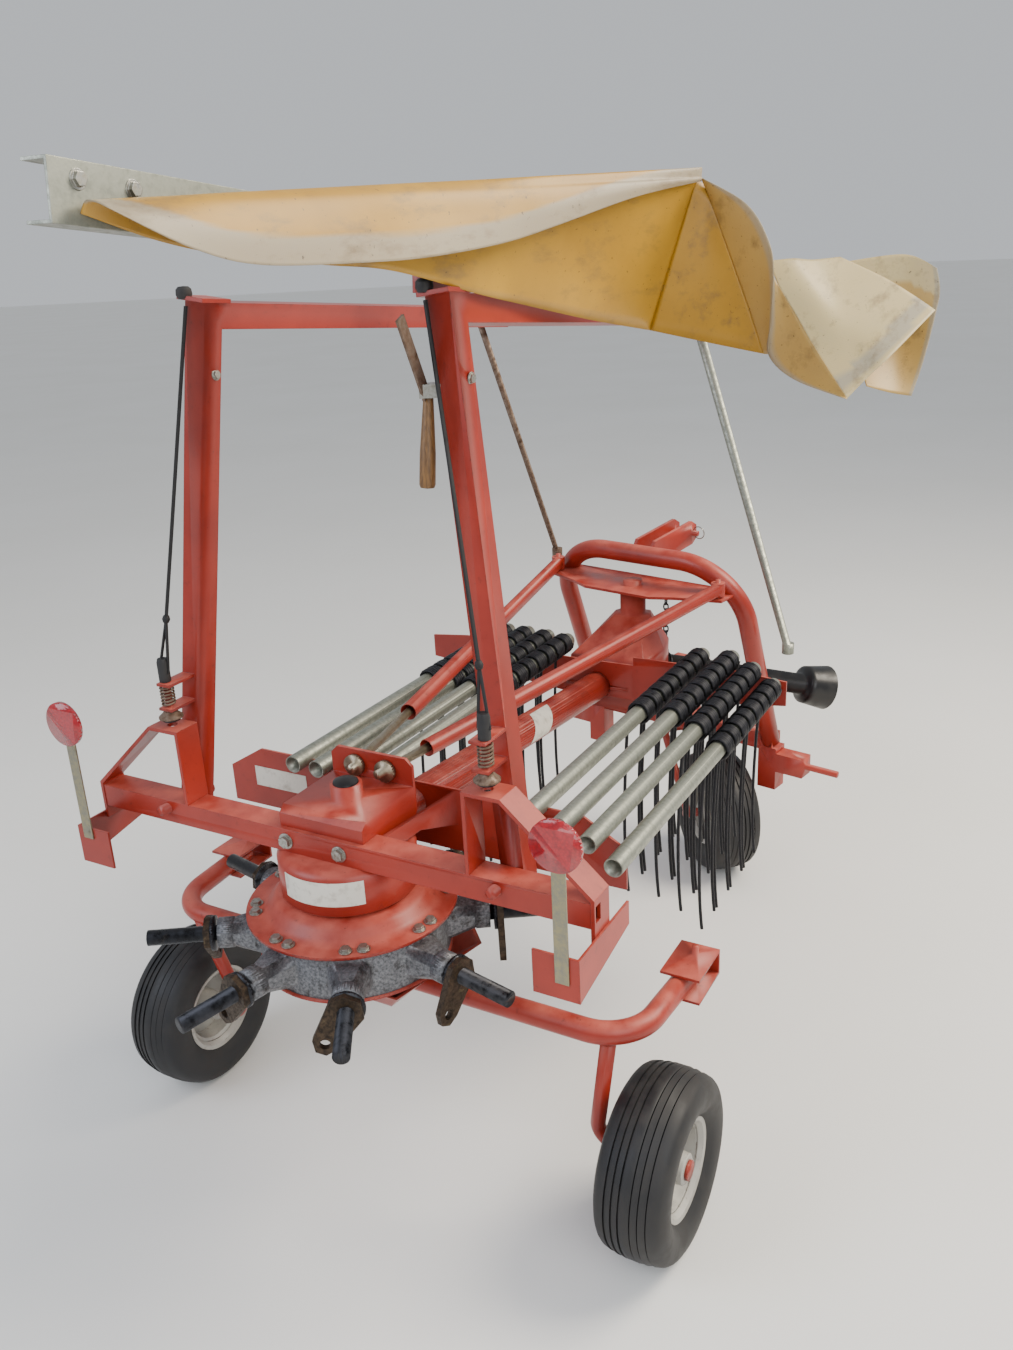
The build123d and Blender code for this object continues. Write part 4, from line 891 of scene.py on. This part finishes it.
def hoop(radius, wire_radius, sides, centre, axis):
    """A round ring of round wire, as vertices and faces."""
    section = []
    for k in range(sides):
        angle = 2 * math.pi * k / sides
        section.append((radius + wire_radius * math.cos(angle), wire_radius * math.sin(angle)))
    return turn(section, centre, axis, 40, closed=True)


loop_form = hoop(GUARD_RADIUS + CHAIN_WIRE + LOOP_CLEARANCE, CHAIN_WIRE, 10, eye, pto_axis)
piece("pto_chain_loop", *loop_form, greased, "headstock", sharp=60)

# Gearbox and beam: a pair of bolts over each arm, two on the beam, and the boss's cap
ROTOR_X = -0.133
FIRST_ARM = 77.6
BOLT_BEFORE_ARM = -0.5
BOLT_PAIR = 10
DISH_BOLT_CIRCLE = 0.205
DISH_BOLT_Z = 0.7684
BEAM_BOLT_X = -0.2238
BEAM_BOLT_Z = 0.930
BEAM_BOLT_SIZE = 1.25
CAP = ((0, 0.0125), (0.008, 0.0115), (0.020, 0.008), (0.0265, 0.0045), (0.0275, 0.0005), (0, 0.0004))


def round_rotor(radius, degrees, z):
    """A place at a radius and angle about the rotor's axis."""
    angle = math.radians(degrees)
    return at(ROTOR_X + radius * math.cos(angle), radius * math.sin(angle), z)


dish_rows = []
for arm in range(8):
    for spread in (0, BOLT_PAIR):
        degrees = FIRST_ARM + 45 * arm + BOLT_BEFORE_ARM + spread
        dish_rows.append((round_rotor(DISH_BOLT_CIRCLE, degrees, DISH_BOLT_Z), UP, 1))
bolts("dish_bolts", dish_rows, "rotor")
beam_rows = [(at(BEAM_BOLT_X, y, BEAM_BOLT_Z), (-1, 0, 0), BEAM_BOLT_SIZE) for y in (0.085, -0.051)]
bolts("beam_bolts", beam_rows, "frame")
piece("boss_cap", *turn(CAP, at(-0.115, 0, 1.032), UP, 40), guard_black, "frame")


def curved_patch(place_at, across_steps, thickness):
    """A thin plate over a curved face: place_at(s, t, lift) gives its points, s and t from 0 to 1."""
    vertices, faces = [], []
    for lift in (0, thickness):
        vertices += [place_at(s / across_steps, t, lift) for s in range(across_steps + 1) for t in (0, 1)]
    layer = 2 * (across_steps + 1)
    for s in range(across_steps):
        a = 2 * s
        faces += [(a, a + 1, a + 3, a + 2), (layer + a, layer + a + 2, layer + a + 3, layer + a + 1)]
        faces += [(a, a + 2, layer + a + 2, layer + a), (a + 1, layer + a + 1, layer + a + 3, a + 3)]
    for a in (0, layer - 2):
        faces.append((a, layer + a, layer + a + 1, a + 1))
    return vertices, faces


# Blank plates, each from its first corner, with its run along s and along t
DRUM_PLATE_RADIUS = 0.1475
DRUM_PLATE_FROM, DRUM_PLATE_ARC = 157, 72
DRUM_PLATE_Z, DRUM_PLATE_HEIGHT = 0.834, 0.054
TUBE_START = Vector((0.020, 0, 0.889))
TUBE_END = Vector((1.170, 0, 0.797))
TUBE_PLATE_RADIUS = 0.0425
TUBE_PLATE_FROM, TUBE_PLATE_ARC = 80, -108
TUBE_PLATE_ALONG, TUBE_PLATE_LENGTH, TUBE_PLATE_SKEW = 0.655, 0.10, -0.05
RACK_PLATE_CORNER = (0.1085, 0.458, 0.838)
RACK_PLATE_WIDTH, RACK_PLATE_HEIGHT = 0.158, 0.052
PLATE_THICKNESS = 0.0006


def drum_point(s, t, lift):
    """On the gearbox's drum, to the rear."""
    degrees = DRUM_PLATE_FROM + DRUM_PLATE_ARC * s
    return round_rotor(DRUM_PLATE_RADIUS + lift, degrees, DRUM_PLATE_Z + DRUM_PLATE_HEIGHT * t)


def tube_point(s, t, lift):
    """Over the main tube's right flank, where its plate is stuck askew."""
    run = (TUBE_END - TUBE_START).normalized()
    side = run.cross(UP).normalized()
    angle = math.radians(TUBE_PLATE_FROM + TUBE_PLATE_ARC * s)
    radial = side * math.cos(angle) + side.cross(run) * math.sin(angle)
    along = TUBE_PLATE_ALONG + TUBE_PLATE_LENGTH * t + TUBE_PLATE_SKEW * s
    return at(*(TUBE_START + run * along + radial * (TUBE_PLATE_RADIUS + lift)))


def rack_point(s, t, lift):
    """On the rear rack plate's rear face, to the left."""
    x, y, z = RACK_PLATE_CORNER
    return at(x - lift, y - RACK_PLATE_WIDTH * s, z + RACK_PLATE_HEIGHT * t)


for name, place_at, steps in (("drum", drum_point, 24), ("tube", tube_point, 16), ("rack", rack_point, 2)):
    plate = curved_patch(place_at, steps, PLATE_THICKNESS)
    piece(f"{name}_plate_blank", *plate, label_white, "frame", sharp=30)

# Latches: a spring between the lugs, a cup and a washer below them, a rubber sleeve on the pin
# The turned outlines are (radius, height)
LATCH_X, LATCH_Y = -0.193, 0.392
SPRING_RADIUS = 0.0138
SPRING_WIRE = 0.0024
SPRING_FOOT_Z, SPRING_HEIGHT = 1.1765, 0.044
SPRING_TURNS, STEPS_PER_TURN = 6, 16
CUP_Z, WASHER_Z, SLEEVE_Z = 1.1475, 1.1415, 1.2295
CUP = ((0.0085, 0), (0.026, 0), (0.026, 0.003), (0.018, 0.010), (0.0125, 0.017), (0.0085, 0.017))
WASHER = ((0.0085, 0), (0.019, 0), (0.019, 0.003), (0.0085, 0.003))
SLEEVE = ((0, 0), (0.0085, 0), (0.0125, 0.001), (0.0125, 0.044), (0.010, 0.052), (0, 0.0535))
# A rope up each post: two strands from the sleeve to a knot, one from there to a grommet at the top
ROPE_RADIUS = 0.0042
STRAND_RADIUS = 0.0034
STRAND_SPREAD = 0.0125
STRAND_Z = 1.250
KNOT_PLACE = (-0.176, 0.379, 1.365)
KNOT = ((0, -0.010), (0.006, -0.0075), (0.0085, 0), (0.006, 0.0075), (0, 0.010))
GROMMET = ((0, 0.024), (0.010, 0.023), (0.015, 0.018), (0.016, 0.008), (0.012, 0), (0, -0.001))
GROMMET_LIFT = UP * 0.013
LATCHES = (("left", 1, (-0.078, 0.296, 1.982)), ("right", -1, (-0.078, -0.256, 1.982)))

for name, side, rope_top in LATCHES:
    body = "guard_" + name
    latch_y = side * LATCH_Y
    coil = []
    for k in range(SPRING_TURNS * STEPS_PER_TURN + 1):
        angle = 2 * math.pi * k / STEPS_PER_TURN
        coil.append(at(
            LATCH_X + SPRING_RADIUS * math.cos(angle), latch_y + SPRING_RADIUS * math.sin(angle),
            SPRING_FOOT_Z + SPRING_HEIGHT * k / (SPRING_TURNS * STEPS_PER_TURN),
        ))
    piece(f"latch_spring_{name}", *pipe(coil, SPRING_WIRE), rusty_bar, body, sharp=60)
    cup = turn(CUP, at(LATCH_X, latch_y, CUP_Z), UP, 32, closed=True)
    piece(f"latch_cup_{name}", *cup, rusty_bar, body)
    under_cup = turn(WASHER, at(LATCH_X, latch_y, WASHER_Z), UP, 32, closed=True)
    piece(f"latch_washer_{name}", *under_cup, greased, body)
    sleeve = turn(SLEEVE, at(LATCH_X, latch_y, SLEEVE_Z), UP, 28)
    piece(f"latch_sleeve_{name}", *sleeve, rubber, body)
    x, y, z = KNOT_PLACE
    knot_place, top = at(x, side * y, z), at(*rope_top)
    strands = []
    for spread in (-STRAND_SPREAD, STRAND_SPREAD):
        strand_foot = at(LATCH_X, side * (LATCH_Y + spread), STRAND_Z)
        strands.append(pipe([strand_foot, knot_place], STRAND_RADIUS))
    strands.append(pipe([knot_place, top], ROPE_RADIUS))
    piece(f"latch_rope_{name}", *gather(strands), rope_black, body, sharp=60)
    knot = turn(KNOT, knot_place, (top - knot_place).normalized(), 20)
    piece(f"latch_knot_{name}", *knot, rope_black, body, sharp=60)
    grommet = turn(GROMMET, top + GROMMET_LIFT, UP, 28)
    piece(f"rope_grommet_{name}", *grommet, rubber, body)

# Posts: the bolt through each near its top, with its head to the right
POST_BOLT_SIZE = 0.8
for name, y, tilt in (("left", 0.2685, 0.13), ("right", -0.3215, -0.13)):
    bolts(f"post_bolt_{name}", [(at(-0.050, y, 1.849), (0, -1, tilt), POST_BOLT_SIZE)], "guard_" + name)

# Hand lever on the right post: a flat bar, a clamp and an oiled wooden grip
LEVER_PIVOT = at(-0.090, -0.249, 1.831)
LEVER_TOP = at(-0.150, -0.249, 1.959)
LEVER_HALF_WIDTH = 0.0115
LEVER_HALF_THICKNESS = 0.0025
LEVER_TAIL = 0.014
CLAMP_HALF_HEIGHT = 0.012
CLAMP_CORNERS = ((0.006, -0.030), (0.030, -0.030), (0.030, 0.004), (-0.012, 0.004))
GRIP_FOOT = at(-0.103, -0.249, 1.662)
GRIP_TOP = LEVER_PIVOT + Vector((0.012, 0, -0.006))
GRIP = (
    (0, -0.002), (0.0125, 0), (0.0148, 0.006), (0.0145, 0.060), (0.0115, 0.115), (0.009, 0.160),
    (0, 0.1615),
)
BOX_FACES = [(0, 1, 2, 3), (7, 6, 5, 4), (0, 4, 5, 1), (1, 5, 6, 2), (2, 6, 7, 3), (3, 7, 4, 0)]

lever_run = (LEVER_TOP - LEVER_PIVOT).normalized()
lever_width = Vector((0, 1, 0)).cross(lever_run) * LEVER_HALF_WIDTH
lever_thickness = Vector((0, LEVER_HALF_THICKNESS, 0))
bar = [
    end + lever_width * u + lever_thickness * v
    for end in (LEVER_PIVOT - lever_run * LEVER_TAIL, LEVER_TOP)
    for u, v in ((-1, -1), (1, -1), (1, 1), (-1, 1))
]
piece("hand_lever_bar", bar, BOX_FACES, rusty_bar, "guard_right", smooth=False)
clamp = [
    LEVER_PIVOT + Vector((x, y, z)) for z in (-CLAMP_HALF_HEIGHT, CLAMP_HALF_HEIGHT) for x, y in CLAMP_CORNERS
]
piece("hand_lever_clamp", clamp, BOX_FACES, bolt_zinc, "guard_right", smooth=False)
grip = turn(GRIP, GRIP_FOOT, (GRIP_TOP - GRIP_FOOT).normalized(), 28)
piece("hand_lever_grip", *grip, wood, "guard_right")

# Channel: two bolt heads on its web
CHANNEL_BOLT_SIZE = 0.85
channel_places = (at(-0.832, -0.2935, 2.160), at(-0.748, -0.29098, 2.150))
bolts("channel_bolts", [(place, (0, -1, 0), CHANNEL_BOLT_SIZE) for place in channel_places], "guard_right")

# Ring through the top link's pin
RING_RADIUS = 0.020
RING_WIRE = 0.0018
pin_ring = hoop(RING_RADIUS, RING_WIRE, 8, at(1.6705, -0.1165, 1.150), (0.98, -0.19, 0.1))
piece("pin_ring", *pin_ring, bolt_zinc, "headstock", sharp=60)

# Floor and light
FLOOR_REACH = 60
FLOOR_CORNERS = ((-1, -1), (1, -1), (1, 1), (-1, 1))
floor_material, floor_tree, floor_shader, floor_place = finish("floor_pale", Roughness=0.7)
floor_tone = blotches(floor_tree, floor_place, 1.4, 0.3, 0.7)
floor_colour = lay_over(floor_tree, floor_tone, "#ebeae7", "#e7e6e2")
floor_tree.links.new(floor_colour, floor_shader.inputs["Base Color"])
floor_mesh = bpy.data.meshes.new("floor")
floor_mesh.from_pydata([(x * FLOOR_REACH, y * FLOOR_REACH, 0) for x, y in FLOOR_CORNERS], [], [(0, 1, 2, 3)])
floor_mesh.materials.append(floor_material)
floor = bpy.data.objects.new("floor", floor_mesh)
bpy.context.scene.collection.objects.link(floor)

world = bpy.data.worlds.new("studio")
bpy.context.scene.world = world
world.use_nodes = True
background = world.node_tree.nodes["Background"]
background.inputs["Color"].default_value = linear("#dfe3e8")
background.inputs["Strength"].default_value = 0.8

LAMPS = (
    dict(place=(2.6, -3.4, 4.6), size=2.6, power=420, colour="#fff4e2"),
    dict(place=(-3.4, 2.6, 3.8), size=3.2, power=150, colour="#e9f0ff"),
    dict(place=(-2.2, -3.0, 3.0), size=3.0, power=90, colour="#ffffff"),
)
LAMPS_AIM = at(0.4, 0, 0.8)
for index, lamp in enumerate(LAMPS):
    data = bpy.data.lights.new(f"softbox_{index}", "AREA")
    data.size = lamp["size"]
    data.energy = lamp["power"]
    data.color = linear(lamp["colour"])[:3]
    light = bpy.data.objects.new(f"softbox_{index}", data)
    light.location = at(*lamp["place"])
    light.rotation_mode = "QUATERNION"
    light.rotation_quaternion = (LAMPS_AIM - light.location).to_track_quat("-Z", "Y")
    bpy.context.scene.collection.objects.link(light)
